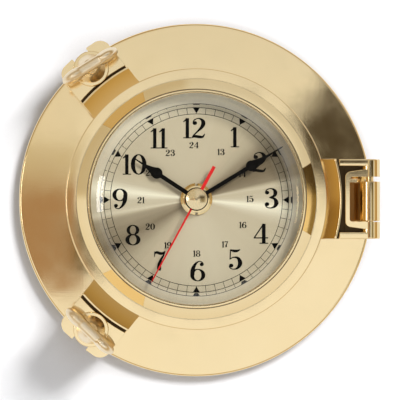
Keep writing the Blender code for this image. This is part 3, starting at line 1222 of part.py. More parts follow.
def paddle_mesh(name, across):
    """A thick round paddle whose faces look in and out along X, its rims rounded off."""
    half = PADDLE_THICKNESS / 2
    rim = PADDLE_RADIUS - PADDLE_ROUND
    builder = bmesh.new()
    flank = half - PADDLE_ROUND
    spans = ((-half, rim), (-flank, PADDLE_RADIUS), (flank, PADDLE_RADIUS), (half, rim))
    rings = []
    for x, radius in spans:
        ring = []
        for y, z in circle((0, 0), radius, PADDLE_STEPS):
            ring.append(builder.verts.new(Vector((x, y + across, z + WING_CENTRE_HEIGHT)) * MM))
        rings.append(ring)
    for low, high in zip(rings, rings[1:]):
        for i in range(PADDLE_STEPS):
            j = (i + 1) % PADDLE_STEPS
            builder.faces.new((low[i], low[j], high[j], high[i]))
    builder.faces.new(rings[0])
    builder.faces.new(rings[-1])
    bmesh.ops.recalc_face_normals(builder, faces=builder.faces)
    return mesh_from(builder, name)


def make_wing_screws(bench):
    """A wing screw and its loose washer on each ear; heights here start under the boss."""
    tip = DOG_LUG_TOP - WING_SCREW_ENGAGEMENT - BOSS_BACK
    chamfer = WING_SCREW_CHAMFER
    shapes = [(0, BOSS_HEIGHT), (BOSS_TOP_RADIUS - chamfer, BOSS_HEIGHT)]
    shapes += [(BOSS_TOP_RADIUS, BOSS_HEIGHT - chamfer), (BOSS_TOP_RADIUS, BOSS_NECK_HEIGHT)]
    shapes += [(BOSS_RADIUS - chamfer, BOSS_RIM_HEIGHT + chamfer), (BOSS_RADIUS, BOSS_RIM_HEIGHT)]
    shapes += [(BOSS_RADIUS, 0), (WING_SCREW_RADIUS, 0)]
    shapes += [(WING_SCREW_RADIUS, tip + chamfer), (WING_SCREW_RADIUS - chamfer, tip), (0, tip)]
    turns = {"upper": UPPER_WING_TURN, "lower": LOWER_WING_TURN}
    for side, frame in lug_frames(bench):
        front = DOG_WASHER_BACK + WASHER_THICKNESS
        hole = WING_SCREW_RADIUS + FIT
        washer = ring_profile(hole, WASHER_RADIUS, DOG_WASHER_BACK, front)
        spot = (DOG_SCREW_X, 0, 0)
        name = side + "_dog_washer"
        turned(bench, name, washer, "polished_brass", SMALL_STEPS, parent=frame, location=spot)
        place = {"parent": frame, "location": (DOG_SCREW_X, 0, BOSS_BACK), "turn": turns[side]}
        name = side + "_wing_screw"
        screw = turned(bench, name, shapes, "polished_brass", SMALL_STEPS, **place)
        half = WING_WEB_THICKNESS / 2
        low = (-half, -WING_SPREAD, WING_CENTRE_HEIGHT - WING_WEB_HEIGHT / 2)
        high = (half, WING_SPREAD, WING_CENTRE_HEIGHT + WING_WEB_HEIGHT / 2)
        join(screw, bench.add(name + "_web", box_mesh("wing_web", low, high), **place))
        for end, across in (("left", WING_SPREAD), ("right", -WING_SPREAD)):
            paddle = paddle_mesh("paddle", across)
            join(screw, bench.add(f"{name}_paddle_{end}", paddle, **place))


def main():
    bench = Bench()
    make_case(bench)
    make_back_cover(bench)
    make_hinge_post(bench)
    make_dog_lugs(bench)
    make_dial(bench)
    make_movement_case(bench)
    make_rear_cover(bench)
    make_battery(bench)
    make_motor(bench)
    make_seconds_train(bench)
    make_motion_work(bench)
    make_hands(bench)
    make_door(bench)
    make_wing_screws(bench)


main()
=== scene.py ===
"""A polished brass porthole clock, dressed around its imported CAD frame.

Shapes are drawn on a bench in millimetres: X points at the hinge, Y at 12 o'clock and Z out of the
wall. STAND_UP turns the bench upright and into metres, so that the dial faces -Y and 12 o'clock is +Z.
"""

import json
import math

import bmesh
import bpy
from mathutils import Matrix, Vector


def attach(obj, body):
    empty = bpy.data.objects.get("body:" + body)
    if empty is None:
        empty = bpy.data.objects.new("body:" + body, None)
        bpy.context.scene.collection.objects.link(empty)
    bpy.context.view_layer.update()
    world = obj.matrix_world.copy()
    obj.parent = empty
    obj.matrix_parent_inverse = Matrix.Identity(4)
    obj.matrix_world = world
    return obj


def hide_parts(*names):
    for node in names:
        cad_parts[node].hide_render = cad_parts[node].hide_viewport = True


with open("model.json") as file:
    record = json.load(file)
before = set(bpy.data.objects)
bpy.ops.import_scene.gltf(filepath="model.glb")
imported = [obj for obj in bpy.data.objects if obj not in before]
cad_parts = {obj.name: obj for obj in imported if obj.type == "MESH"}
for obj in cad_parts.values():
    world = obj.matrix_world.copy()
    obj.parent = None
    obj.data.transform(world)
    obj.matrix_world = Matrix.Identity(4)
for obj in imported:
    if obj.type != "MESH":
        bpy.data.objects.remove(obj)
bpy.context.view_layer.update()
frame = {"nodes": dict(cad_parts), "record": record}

bl_info = {
    "name": "Porthole clock",
    "version": (1, 0, 0),
    "blender": (4, 5, 0),
    "location": "3D View > Sidebar > Clock",
    "description": "Builds a brass porthole clock with a hinged glazed door and two wing screws",
    "category": "Add Mesh",
}

MM = 0.001
FULL_TURN = 2 * math.pi
QUARTER = math.pi / 2
STAND_UP = Matrix.Rotation(QUARTER, 4, "X") @ Matrix.Scale(MM, 4)
SIDE_VIEW = Matrix.Rotation(QUARTER, 4, "X")
ALONG_Y = Matrix.Rotation(-QUARTER, 4, "X")

# How finely round things are cut
RING_STEPS = 256
ROUND_STEPS = 64
SMALL_STEPS = 32
CURVE_STEPS = 14

# Clearance between pieces, and the heights and counts that several pieces share, in millimetres
GAP = 0.3
SEAL_BACK = 27.0
RAIL_FRONT = 28.7
LUG_RISE = 0.4
LUG_OVERLAP = 2.5
HAND_THICKNESS = 0.5
COVER_SCREWS = 3


# Settings that a user may change


def length(name, millimetres, description):
    return bpy.props.FloatProperty(
        name=name, description=description, default=millimetres * MM, unit="LENGTH", precision=4
    )


def turn(name, degrees, description):
    return bpy.props.FloatProperty(
        name=name, description=description, default=math.radians(degrees), subtype="ANGLE"
    )


def colour(name, value, description):
    return bpy.props.FloatVectorProperty(
        name=name, description=description, default=value, size=3, subtype="COLOR", min=0, max=1
    )


def amount(name, value, description):
    return bpy.props.FloatProperty(name=name, description=description, default=value, min=0)


class ClockCaseSettings(bpy.types.PropertyGroup):
    flange_radius: length("Flange radius", 76.0, "Radius of the flange that lies on the wall")
    flange_thickness: length("Flange thickness", 6.0, "How thick the flange is")
    flange_round: length("Flange edge", 1.2, "Rounding of the flange's front edge")
    drum_radius: length("Drum radius", 51.5, "Radius of the drum behind the door")
    drum_top: length("Drum height", 22.0, "Height of the drum's rim above the wall")
    drum_foot: length("Drum foot", 1.5, "Fillet between drum and flange")
    bore_radius: length("Bore radius", 44.0, "Radius of the hole that holds the movement")
    seat_radius: length("Dial seat radius", 46.8, "Radius of the seat for the dial")
    ledge: length("Dial ledge", 19.4, "Height of the ledge under the dial")
    cover_radius: length("Back cover radius", 51.7, "Radius of the cover at the back")
    cover_thickness: length("Back cover thickness", 2.0, "How thick the back cover is")
    keyhole_height: length("Keyhole height", 34.0, "Height of the keyhole above the centre")
    keyhole_head: length("Keyhole head", 4.5, "Radius of the round part of the keyhole")
    keyhole_neck: length("Keyhole neck", 2.2, "Radius of the keyhole's narrow end")
    keyhole_rise: length("Keyhole rise", 6.5, "How far the neck runs above the head")
    cover_screw_circle: length("Cover screw circle", 49.0, "Radius that the cover's screws lie on")
    cover_screw_turn: turn("First cover screw", 32, "Angle of the first of the cover's screws")


class ClockDoorSettings(bpy.types.PropertyGroup):
    radius: length("Door radius", 55.0, "Outer radius of the door ring")
    back: length("Door back", 23.6, "Height of the door's back above the wall")
    band_front: length("Band front", 28.6, "Height of the flat band")
    band_inner: length("Band inner radius", 50.6, "Where the band meets the slope")
    lip_edge: length("Lip outer radius", 45.6, "Outer edge of the raised lip")
    lip_bore: length("Lip bore radius", 44.3, "Radius of the opening over the glass")
    lip_front: length("Lip front", 33.1, "Height of the lip")
    lip_back: length("Lip back", 31.4, "Height of the lip's underside")
    edge_round: length("Door edge", 0.6, "Rounding of the door's outer edge")
    slope_sag: length("Slope hollow", 0.03, "How hollow the slope is between lip and band")
    glass_radius: length("Glass radius", 46.6, "Radius of the pane")
    glass_back: length("Glass back", 28.1, "Height of the back of the pane")
    glass_front: length("Glass front", 31.1, "Height of the front of the pane")
    bevel_width: length("Glass bevel width", 7.2, "Width of the bevel round the pane")
    bevel_drop: length("Glass bevel depth", 2.5, "How far the bevel falls to the edge")
    crest_front: length("Crest height", 33.0, "Height of the sharp crest on each lug")
    crest_width: length("Crest width", 0.65, "Width of the flat on top of a crest")
    cove_root: length("Cove root", 54.4, "Radius where a lug's cove starts")


class ClockHingeSettings(bpy.types.PropertyGroup):
    axis_x: length("Hinge axis", 73.2, "Distance of the hinge pin from the centre")
    axis_z: length("Hinge height", 24.6, "Height of the hinge pin above the wall")
    knuckle_radius: length("Knuckle radius", 4.3, "Radius of the knuckles")
    half_width: length("Lug half width", 16.8, "Half the length of the door's hinge lug")
    crest_radius: length("Hinge crest", 60.7, "Radius of the crest at the hinge")
    slot_end: length("Slot end", 62.2, "Where the slot beside the crest ends")
    window_left: length("Window side", 64.3, "Inner side of the window round the knuckle")
    window_top: length("Window top", 9.4, "Upper end of the window")
    window_bottom: length("Window bottom", -9.6, "Lower end of the window")
    bead: length("Bead width", 1.9, "Width of the bead round the window")
    flare: length("Bead flare", 1.5, "How much the bead's arms widen")
    rail: length("Rail width", 2.9, "Width of the rails at the ends of the lug")
    pin_radius: length("Pin radius", 1.6, "Radius of the hinge pin")
    leaf_top: length("Leaf top", 7.4, "Upper end of the fixed knuckle")
    leaf_bottom: length("Leaf bottom", -9.3, "Lower end of the fixed knuckle")


class ClockDogSettings(bpy.types.PropertyGroup):
    angle: turn("Dog angle", 129, "Angle of each dog from the hinge")
    half_width: length("Ear half width", 12.2, "Half the width of an ear")
    crest_radius: length("Ear crest", 62.2, "Radius of the crest on an ear")
    slot: length("Slot width", 1.6, "Width of the slot behind the crest")
    slot_depth: length("Slot depth", 3.1, "Depth of the slot behind the crest")
    plate_end: length("Ear end", 78.4, "Outer end of an ear")
    plate_back: length("Ear back", 22.0, "Height of an ear's underside")
    plate_front: length("Ear front", 26.0, "Height of an ear's face")
    corner: length("Ear corner", 4.8, "Rounding of the ends of the prongs")
    screw_x: length("Screw distance", 70.5, "Distance of a wing screw from the centre")
    fork: length("Fork width", 7.2, "Width of the slot in an ear")
    screw_radius: length("Screw radius", 3.0, "Outer radius of the thread")
    screw_tip: length("Screw tip", 18.3, "Height of the end of the screw")
    thread_pitch: length("Thread pitch", 2.0, "Rise of the thread in one turn")
    boss_back: length("Boss back", 27.8, "Height of the underside of the boss")
    boss_radius: length("Boss radius", 6.0, "Radius of the boss at its foot")
    boss_top: length("Boss neck radius", 4.0, "Radius of the boss under the wings")
    washer_radius: length("Washer radius", 7.4, "Radius of the loose washer")
    wing_spread: length("Wing spread", 7.4, "Distance from the axis to the middle of a wing")
    wing_radius: length("Wing radius", 5.8, "Radius of a wing")
    wing_thickness: length("Wing thickness", 5.4, "Thickness of a wing")
    wing_height: length("Wing height", 12.8, "Height of the wings above the boss's foot")
    upper_turn: turn("Upper screw turn", -7, "How the upper wings are turned")
    lower_turn: turn("Lower screw turn", -5, "How the lower wings are turned")


class ClockDialSettings(bpy.types.PropertyGroup):
    radius: length("Dial radius", 46.4, "Radius of the dial plate")
    back: length("Dial back", 19.7, "Height of the back of the dial")
    front: length("Dial front", 20.5, "Height of the face of the dial")
    ink: length("Ink", 0.03, "Thickness of the print")
    track_outer: length("Track outer radius", 39.1, "Outer circle of the minute track")
    track_inner: length("Track inner radius", 36.4, "Inner circle of the minute track")
    track_drop: length("Track drop", 0.3, "How far the printed track sits below the centre")
    track_line: length("Track line", 0.24, "Width of the track's circles")
    tick: length("Tick width", 0.2, "Width of the minute ticks")
    wedge: length("Wedge width", 2.9, "Width of the wedge at each hour")
    hour_height: length("Numeral height", 8.7, "Height of the hour numerals")
    day_height: length("Small numeral height", 2.7, "Height of the 13 to 24 numerals")
    hour_angle: turn("Hour hand", 303.2, "Angle of the hour hand from 12")
    minute_angle: turn("Minute hand", 58.7, "Angle of the minute hand from 12")
    second_angle: turn("Second hand", 208.5, "Angle of the second hand from 12")


class ClockFinishSettings(bpy.types.PropertyGroup):
    brass: colour("Brass", (0.93, 0.755, 0.45), "Colour of the polished brass")
    brass_deep: colour("Deep brass", (0.88, 0.67, 0.35), "Colour of the brass where it is richer")
    pale: colour("Pale brass", (1.0, 0.92, 0.80), "Colour that the cast wings lean to")
    satin: colour("Satin brass", (0.70, 0.54, 0.29), "Colour of the turned brass parts")
    # Colours along the dial's painted sheen: its painted highlight, its usual tone and its painted shade
    dial_light: colour("Dial light", (0.95, 0.89, 0.69), "Brightest rays of the dial")
    dial_middle: colour("Dial middle", (0.58, 0.495, 0.34), "Usual colour of the dial")
    dial_dark: colour("Dial dark", (0.13, 0.09, 0.045), "Darkest rays of the dial")
    ink: colour("Black", (0.004, 0.0035, 0.003), "Colour of the print and of two hands")
    red: colour("Red", (0.52, 0.018, 0.018), "Colour of the second hand")
    polish: amount("Polish", 0.07, "Roughness of the polished brass")
    # Painted shade: the colour that grooves and corners are darkened to, and how narrow a groove must be to
    # take it
    recess: colour("Recess", (0.10, 0.06, 0.025), "Colour of brass that the wheel can't reach")
    recess_reach: length("Recess reach", 1.9, "How narrow a groove has to be to stay dark")


class ClockStageSettings(bpy.types.PropertyGroup):
    distance: length("Camera distance", 900, "Distance from the camera to the flange")
    sideways: turn("Camera to the right", -1.2, "How far the camera stands to the right")
    height: turn("Camera height", -0.9, "How far the camera stands above the middle")
    view_width: length("View width", 172.2, "Width of the view at the flange")
    aim_x: length("Aim sideways", 1.85, "Where the middle of the view lies beside the centre")
    aim_z: length("Aim height", -0.1, "Where the middle of the view lies above the centre")
    wall: colour("Wall", (0.88, 0.88, 0.89), "Colour of the wall behind the clock")
    key: amount("Key light", 15.0, "Power of the main light, in watts")
    ambient: amount("Ambient light", 0.37, "Light from all round")


class Millimetres:
    """Reads a group's lengths in millimetres."""

    def __init__(self, group):
        self.group = group

    def __getattr__(self, name):
        return round(getattr(self.group, name) / MM, 4)


def millimetres(name):
    return Millimetres(getattr(bpy.context.scene, "clock_" + name))


# Drawing helpers


def arc(centre, radius, start, end, steps=8):
    points = []
    for i in range(steps + 1):
        angle = start + (end - start) * i / steps
        points.append((centre[0] + radius * math.cos(angle), centre[1] + radius * math.sin(angle)))
    return points


def circle(centre, radius, steps=SMALL_STEPS):
    return arc(centre, radius, 0, FULL_TURN, steps)[:-1]


def softened(points, steps=4):
    """A closed outline of (x, y) or (x, y, rounding) points, with those corners rounded off."""
    outline = []
    for i, point in enumerate(points):
        if len(point) < 3 or not point[2]:
            outline.append(tuple(point[:2]))
            continue
        here = Vector(point[:2])
        before = (Vector(points[i - 1][:2]) - here).normalized()
        after = (Vector(points[(i + 1) % len(points)][:2]) - here).normalized()
        half = before.angle(after) / 2
        centre = here + (before + after).normalized() * (point[2] / math.sin(half))
        start = here + before * (point[2] / math.tan(half)) - centre
        end = here + after * (point[2] / math.tan(half)) - centre
        first = math.atan2(start.y, start.x)
        swing = (math.atan2(end.y, end.x) - first + math.pi) % FULL_TURN - math.pi
        outline += arc(centre, point[2], first, first + swing, steps)
    return outline


def linked(name, data):
    item = bpy.data.objects.new(name, data)
    bpy.context.scene.collection.objects.link(item)
    return item


def shape(name, builder, matrix=None):
    if matrix:
        bmesh.ops.transform(builder, matrix=matrix, verts=builder.verts)
    mesh = bpy.data.meshes.new(name)
    builder.to_mesh(mesh)
    builder.free()
    return linked(name, mesh)


def join_rings(builder, upper, lower):
    """Faces between two rings of points; either may be a single point on the axis."""
    count = max(len(upper), len(lower))
    for i in range(count):
        j = (i + 1) % count
        if len(upper) == 1:
            builder.faces.new((upper[0], lower[i], lower[j]))
        elif len(lower) == 1:
            builder.faces.new((upper[i], lower[0], upper[j]))
        else:
            builder.faces.new((upper[i], lower[i], lower[j], upper[j]))


def turned(name, profile, steps=RING_STEPS, matrix=None):
    """Turns (radius, height) points about Z. The profile runs down its outer side.

    One that starts on the axis also ends there; any other is a closed loop.
    """
    builder = bmesh.new()
    rings = []
    for radius, height in profile:
        if radius < 1e-6:
            rings.append([builder.verts.new((0, 0, height))])
        else:
            around = circle((0, 0), radius, steps)
            rings.append([builder.verts.new((x, y, height)) for x, y in around])
    for upper, lower in zip(rings, rings[1:]):
        join_rings(builder, upper, lower)
    if profile[0][0] > 1e-6:
        join_rings(builder, rings[-1], rings[0])
    return shape(name, builder, matrix)


def band(inner, outer, back, front, rounding=0.2):
    corners = [(outer, front), (outer, back), (inner, back), (inner, front)]
    return softened([(radius, height, rounding) for radius, height in corners], 3)


def rod(radius, low, high, rounding=0.0):
    """The profile of a plain rod, or of the bit that bores its hole."""
    return softened([(0, high), (radius, high, rounding), (radius, low, rounding), (0, low)])


def prism(name, outlines, back, front, matrix=None):
    """A flat plate: the first outline is its edge and the others are its holes."""
    drawing = bpy.data.curves.new(name, "CURVE")
    drawing.dimensions = "2D"
    drawing.fill_mode = "BOTH"
    drawing.extrude = (front - back) / 2
    for outline in outlines:
        line = drawing.splines.new("POLY")
        line.points.add(len(outline) - 1)
        for point, (x, y) in zip(line.points, outline):
            point.co = (x, y, 0, 1)
        line.use_cyclic_u = True
    drawn = linked(name, drawing)
    graph = bpy.context.evaluated_depsgraph_get()
    mesh = bpy.data.meshes.new_from_object(drawn.evaluated_get(graph))
    builder = bmesh.new()
    builder.from_mesh(mesh)
    bpy.data.objects.remove(drawn)
    bpy.data.meshes.remove(mesh)
    bmesh.ops.remove_doubles(builder, verts=builder.verts, dist=0.0005)
    bmesh.ops.recalc_face_normals(builder, faces=builder.faces)
    flat = math.radians(1)
    bmesh.ops.dissolve_limit(builder, angle_limit=flat, verts=builder.verts, edges=builder.edges)
    bmesh.ops.translate(builder, vec=(0, 0, (back + front) / 2), verts=builder.verts)
    return shape(name, builder, matrix)


def block(name, low, high, matrix=None):
    outline = [(low[0], low[1]), (high[0], low[1]), (high[0], high[1]), (low[0], high[1])]
    return prism(name, [outline], low[2], high[2], matrix)


def settle(item):
    """Turns an object's modifiers into its own mesh."""
    graph = bpy.context.evaluated_depsgraph_get()
    mesh = bpy.data.meshes.new_from_object(item.evaluated_get(graph))
    item.modifiers.clear()
    old = item.data
    item.data = mesh
    bpy.data.meshes.remove(old)
    return item


def soften_edges(item, width, segments=3, angle=30):
    step = item.modifiers.new("edges", "BEVEL")
    step.width = width
    step.segments = segments
    step.limit_method = "ANGLE"
    step.angle_limit = math.radians(angle)
    return settle(item)


def combine(item, tools, operation):
    for tool in tools:
        step = item.modifiers.new(operation.lower(), "BOOLEAN")
        step.operation = operation
        step.object = tool
        step.solver = "EXACT"
    settle(item)
    for tool in tools:
        bpy.data.objects.remove(tool)
    return item


def gather(name, items):
    """Puts several shapes into one mesh."""
    builder = bmesh.new()
    for item in items:
        builder.from_mesh(item.data)
        bpy.data.objects.remove(item)
    return shape(name, builder)


def place(item, body, slot, nodes=(), smooth=35, look=None):
    """Stands a finished shape up in the frame, in its look, and hands it to its body."""
    mesh = item.data
    mesh.transform(STAND_UP)
    mesh.materials.clear()
    mesh.materials.append(material_for(look or slot))
    for face in mesh.polygons:
        face.use_smooth = True
        face.material_index = 0
    mesh.set_sharp_from_angle(angle=math.radians(smooth))
    even = item.modifiers.new("even_faces", "WEIGHTED_NORMAL")
    even.keep_sharp = True
    settle(item)
    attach(item, body)
    if nodes:
        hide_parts(*nodes)
    return item


def dog_sides():
    angle = bpy.context.scene.clock_dogs.angle
    return (("upper", Matrix.Rotation(angle, 4, "Z")), ("lower", Matrix.Rotation(-angle, 4, "Z")))


def along_pin(hinge):
    return Matrix.Translation((hinge.axis_x, 0, hinge.axis_z)) @ ALONG_Y


# Node helpers


class Board:
    """Adds nodes to a tree and wires what they are given."""

    def __init__(self, tree):
        self.tree = tree

    def give(self, node, inputs):
        for key, value in inputs.items():
            if isinstance(value, bpy.types.NodeSocket):
                self.tree.links.new(value, node.inputs[key])
            else:
                node.inputs[key].default_value = value

    def add(self, kind, inputs=None, **settings):
        node = self.tree.nodes.new(kind)
        for key, value in settings.items():
            setattr(node, key, value)
        self.give(node, inputs or {})
        return node

    def maths(self, operation, first, second=0.0, **settings):
        inputs = {0: first, 1: second}
        return self.add("ShaderNodeMath", inputs, operation=operation, **settings).outputs[0]

    def vector_maths(self, operation, inputs, result=0):
        return self.add("ShaderNodeVectorMath", inputs, operation=operation).outputs[result]

    def noise(self, vector, scale, detail=2.0):
        inputs = {"Vector": vector, "Scale": scale, "Detail": detail, "Roughness": 0.5}
        return self.add("ShaderNodeTexNoise", inputs).outputs["Fac"]

    def stretched(self, vector, scale):
        inputs = {"Vector": vector, "Scale": scale}
        return self.add("ShaderNodeMapping", inputs).outputs["Vector"]

    def span(self, value, from_low, from_high, low=0.0, high=1.0):
        inputs = {0: value, 1: from_low, 2: from_high, 3: low, 4: high}
        return self.add("ShaderNodeMapRange", inputs).outputs[0]

    def blend(self, share, first, second):
        inputs = {0: share, 6: first, 7: second}
        return self.add("ShaderNodeMix", inputs, data_type="RGBA").outputs[2]

    def mix(self, share, first, second):
        """A surface between two others."""
        inputs = {0: share, 1: first.outputs[0], 2: second.outputs[0]}
        return self.add("ShaderNodeMixShader", inputs)

    def ramp(self, share, stops):
        """A colour ramp with (position, colour) stops."""
        node = self.add("ShaderNodeValToRGB", {0: share})
        elements = node.color_ramp.elements
        while len(elements) < len(stops):
            elements.new(0.5)
        for element, (position, tint) in zip(elements, stops):
            element.position = position
            element.color = solid(tint)
        return node.outputs[0]

    def bump(self, height, strength, distance):
        inputs = {"Height": height, "Strength": strength, "Distance": distance}
        return self.add("ShaderNodeBump", inputs).outputs[0]

    def open_sky(self, distance, **settings):
        """How little of the sky over a spot is hidden by what stands near it."""
        node = self.add("ShaderNodeAmbientOcclusion", {"Distance": distance}, samples=8, **settings)
        return node.outputs["AO"]

    def split(self, vector):
        return self.add("ShaderNodeSeparateXYZ", {0: vector}).outputs

    def about_axis(self, vector):
        """A spot's three parts, its place seen along the clock's axis, and its distance from it."""
        parts = self.split(vector)
        flat = self.add("ShaderNodeCombineXYZ", {0: parts[0], 1: parts[2]}).outputs[0]
        return parts, flat, self.vector_maths("LENGTH", {0: flat}, "Value")

    def shared(self, maker, first):
        """The outputs of a node group that is made once and named after its maker."""
        name = maker.__name__
        tree = bpy.data.node_groups.get(name) or maker(name)
        return self.add("ShaderNodeGroup", {0: first}, node_tree=tree).outputs

    def mirrored(self):
        """1 for rays that polished metal or glass has thrown back, through glass or not."""
        path = self.add("ShaderNodeLightPath").outputs
        thrown = self.maths("GREATER_THAN", path["Glossy Depth"], 0.5)
        return self.maths("MULTIPLY", thrown, self.maths("SUBTRACT", 1.0, path["Is Diffuse Ray"]))


def new_group(name, outputs, socket="Vector"):
    """An empty shader group with one input, a vector or else a number, and its named outputs."""
    tree = bpy.data.node_groups.new(name, "ShaderNodeTree")
    kind = "NodeSocketVector" if socket == "Vector" else "NodeSocketFloat"
    tree.interface.new_socket(socket, in_out="INPUT", socket_type=kind)
    for output in outputs:
        tree.interface.new_socket(output, in_out="OUTPUT", socket_type="NodeSocketFloat")
    board = Board(tree)
    return board, board.add("NodeGroupInput").outputs[0]


def close_group(board, *results):
    board.add("NodeGroupOutput", dict(enumerate(results)))
    return board.tree


def polish_marks(name):
    """Cloudy tone, smudges and hairlines left by a polishing wheel."""
    board, at = new_group(name, ("Tone", "Smudge", "Height"))
    tone = board.span(board.noise(at, 28.0, 3.0), 0.3, 0.7)
    smudge = board.span(board.noise(at, 90.0, 4.0), 0.35, 0.75)
    along = board.noise(board.stretched(at, (60.0, 2500.0, 2500.0)), 1.0, 1.0)
    across = board.noise(board.stretched(at, (2100.0, 2100.0, 90.0)), 1.0, 1.0)
    return close_group(board, tone, smudge, board.maths("ADD", along, across))


def recess(name):
    """Painted shade: how deep a spot lies in a groove or a corner of its own piece, from how much of the
    sky near it is hidden.
    """
    board, reach = new_group(name, ("Depth",), "Reach")
    return close_group(board, board.span(board.open_sky(reach, only_local=True), 0.30, 0.66, 1.0, 0.0))


def turning_marks(name):
    """Fine rings that a lathe leaves round the clock's axis."""
    board, at = new_group(name, ("Height",))
    radius = board.about_axis(at)[2]
    rings = board.maths("MULTIPLY", radius, RINGS_PER_METRE)
    line = board.add("ShaderNodeCombineXYZ", {0: rings}).outputs[0]
    return close_group(board, board.noise(line, 1.0, 3.0))


def moulded_grain(name):
    """The fine pebble of a moulded or rubber face."""
    board, at = new_group(name, ("Height", "Tone"))
    return close_group(board, board.noise(at, 2500.0), board.noise(at, 120.0, 3.0))


def bare(owner):
    """The emptied board of a material or a world."""
    owner.use_nodes = True
    owner.node_tree.nodes.clear()
    return Board(owner.node_tree)


def show(board, surface):
    """Makes a surface the one that its material shows."""
    kind = "ShaderNodeOutputMaterial"
    found = [node for node in board.tree.nodes if node.bl_idname == kind]
    output = found[0] if found else board.add(kind)
    board.tree.links.new(surface.outputs[0], output.inputs[0])


def new_material(name):
    """A material, its board with a Principled shader, and the object's own coordinates."""
    material = bpy.data.materials.new(name)
    board = bare(material)
    board.shader = board.add("ShaderNodeBsdfPrincipled")
    show(board, board.shader)
    return material, board, board.add("ShaderNodeTexCoord").outputs["Object"]


def solid(value):
    return (value[0], value[1], value[2], 1.0)


def shaded(tint, factor, lift=0.0):
    """A tint made darker or paler, but no paler than white."""
    return solid([min(1.0, part * factor + lift) for part in tint])


# Looks: each maker returns what its material's Principled shader is given

# How many fine rings turning leaves to a metre of radius
RINGS_PER_METRE = 4000.0

# Painted shade on front faces deep in the hinge window and in the slots: from and to which height, beyond
# which radius, and the tint
LEAF_PAINTED_SHADE = (14.0, 20.5, 0.0, (0.40, 0.21, 0.07))
DOOR_PAINTED_SHADE = (25.45, 25.75, 57.0, (0.075, 0.05, 0.025))


def polished_brass(board, vector, floor=None, dull=1.0, pale=0.0):
    """Polished brass, darkened by painted shade in its grooves and corners, and on front faces below its
    floor if it has one.
    """
    finish = bpy.context.scene.clock_finish
    marks = board.shared(polish_marks, vector)
    tone = board.blend(marks["Tone"], solid(finish.brass), solid(finish.brass_deep))
    even = board.blend(0.3, solid(finish.brass), tone)
    # depth: how strongly the painted shade darkens each spot; cast: the tint of that painted shade
    depth = board.shared(recess, finish.recess_reach)[0]
    cast = finish.recess
    if floor:
        low, high, beyond, cast = floor
        parts, flat, away = board.about_axis(vector)
        facing = board.split(board.add("ShaderNodeTexCoord").outputs["Normal"])[1]
        below = board.span(parts[1], -high * MM, -low * MM)
        below = board.maths("MULTIPLY", below, board.maths("GREATER_THAN", away, beyond * MM))
        below = board.maths("MULTIPLY", below, board.maths("LESS_THAN", facing, -0.5))
        depth = board.maths("MAXIMUM", depth, below)
    even = board.blend(pale, even, solid(finish.pale))
    even = board.blend(depth, even, solid(cast))
    polish = finish.polish * dull
    rough = board.span(marks["Smudge"], 0.0, 1.0, polish * 0.8, polish * 1.7)
    rough = board.maths("ADD", rough, board.maths("MULTIPLY", depth, 0.35))
    normal = board.bump(marks["Height"], 0.06, 0.00002)
    return {"Base Color": even, "Metallic": 1.0, "Roughness": rough, "Normal": normal}


def satin_brass(board, vector):
    satin = bpy.context.scene.clock_finish.satin
    marks = board.shared(turning_marks, vector)
    cloud = board.span(board.noise(vector, 60.0, 4.0), 0.3, 0.7)
    tone = board.blend(cloud, solid(satin), shaded(satin, 0.72))
    rough = board.span(cloud, 0.0, 1.0, 0.28, 0.42)
    normal = board.bump(marks["Height"], 0.35, 0.00006)
    return {"Base Color": tone, "Metallic": 1.0, "Roughness": rough, "Normal": normal}


# Painted sheen of the dial: its brightness by the angle from 12, the bright and dark fans that a dial
# brushed in rays shows in its reflections
PAINTED_SHEEN = (
    (0, 0.54), (30, 0.50), (44, 0.40), (52, 0.22), (60, 0.08), (70, 0.10), (76, 0.18), (79.5, 0.62),
    (82, 0.52), (88, 0.54), (92, 0.70), (95.5, 1.0), (99, 0.86), (104, 0.60), (109, 0.52),
    (130, 0.53), (165, 0.60), (200, 0.57), (216, 0.50), (226, 0.42), (233, 0.28), (241, 0.12),
    (250, 0.22), (257, 0.32), (260.5, 0.70), (264, 0.55), (269, 0.58), (276, 1.0), (283, 0.56),
    (292, 0.49), (320, 0.53), (360, 0.54),
)


def sunray(name):
    """Painted sheen by the angle round the dial, painted light on the upper right of its rim, and the
    hairlines of its brushing.
    """
    board, at = new_group(name, ("Light", "Height"))
    parts, flat, radius = board.about_axis(at)
    angle = board.maths("ARCTAN2", parts[0], parts[2])
    share = board.maths("FRACT", board.maths("DIVIDE", angle, FULL_TURN))
    light = board.ramp(share, [(degrees / 360, (level,) * 3) for degrees, level in PAINTED_SHEEN])
    ray = board.vector_maths("NORMALIZE", {0: flat})
    fine = board.noise(ray, 160.0)
    broad = board.noise(ray, 24.0, 1.0)
    streak = board.maths("MULTIPLY", board.maths("SUBTRACT", fine, 0.5), 0.10)
    tone_drift_and_rim_light = board.maths("MULTIPLY", board.maths("SUBTRACT", broad, 0.5), 0.07)
    # Painted light on the upper right of the rim, where the lip's shadow falls on the dial
    rim = board.span(radius, 0.0345, 0.0415)
    turned_to_light = board.maths("COSINE", board.maths("SUBTRACT", angle, 0.4))
    side = board.span(turned_to_light, -0.3, 0.95, 0.0, 0.36)
    tone_drift_and_rim_light = board.maths("ADD", tone_drift_and_rim_light, board.maths("MULTIPLY", rim, side))
    light = board.maths("ADD", board.maths("ADD", light, streak), tone_drift_and_rim_light, use_clamp=True)
    return close_group(board, light, fine)


def sunray_dial(board, vector):
    finish = bpy.context.scene.clock_finish
    # The dial's colour runs along its painted sheen, from painted shade through the usual tone to painted
    # highlight
    rays = board.shared(sunray, vector)
    stops = ((0.0, finish.dial_dark), (0.5, finish.dial_middle), (1.0, finish.dial_light))
    tone = board.ramp(rays["Light"], stops)
    normal = board.bump(rays["Height"], 0.12, 0.00003)
    return {"Base Color": tone, "Metallic": 0.25, "Roughness": 0.5, "Normal": normal}


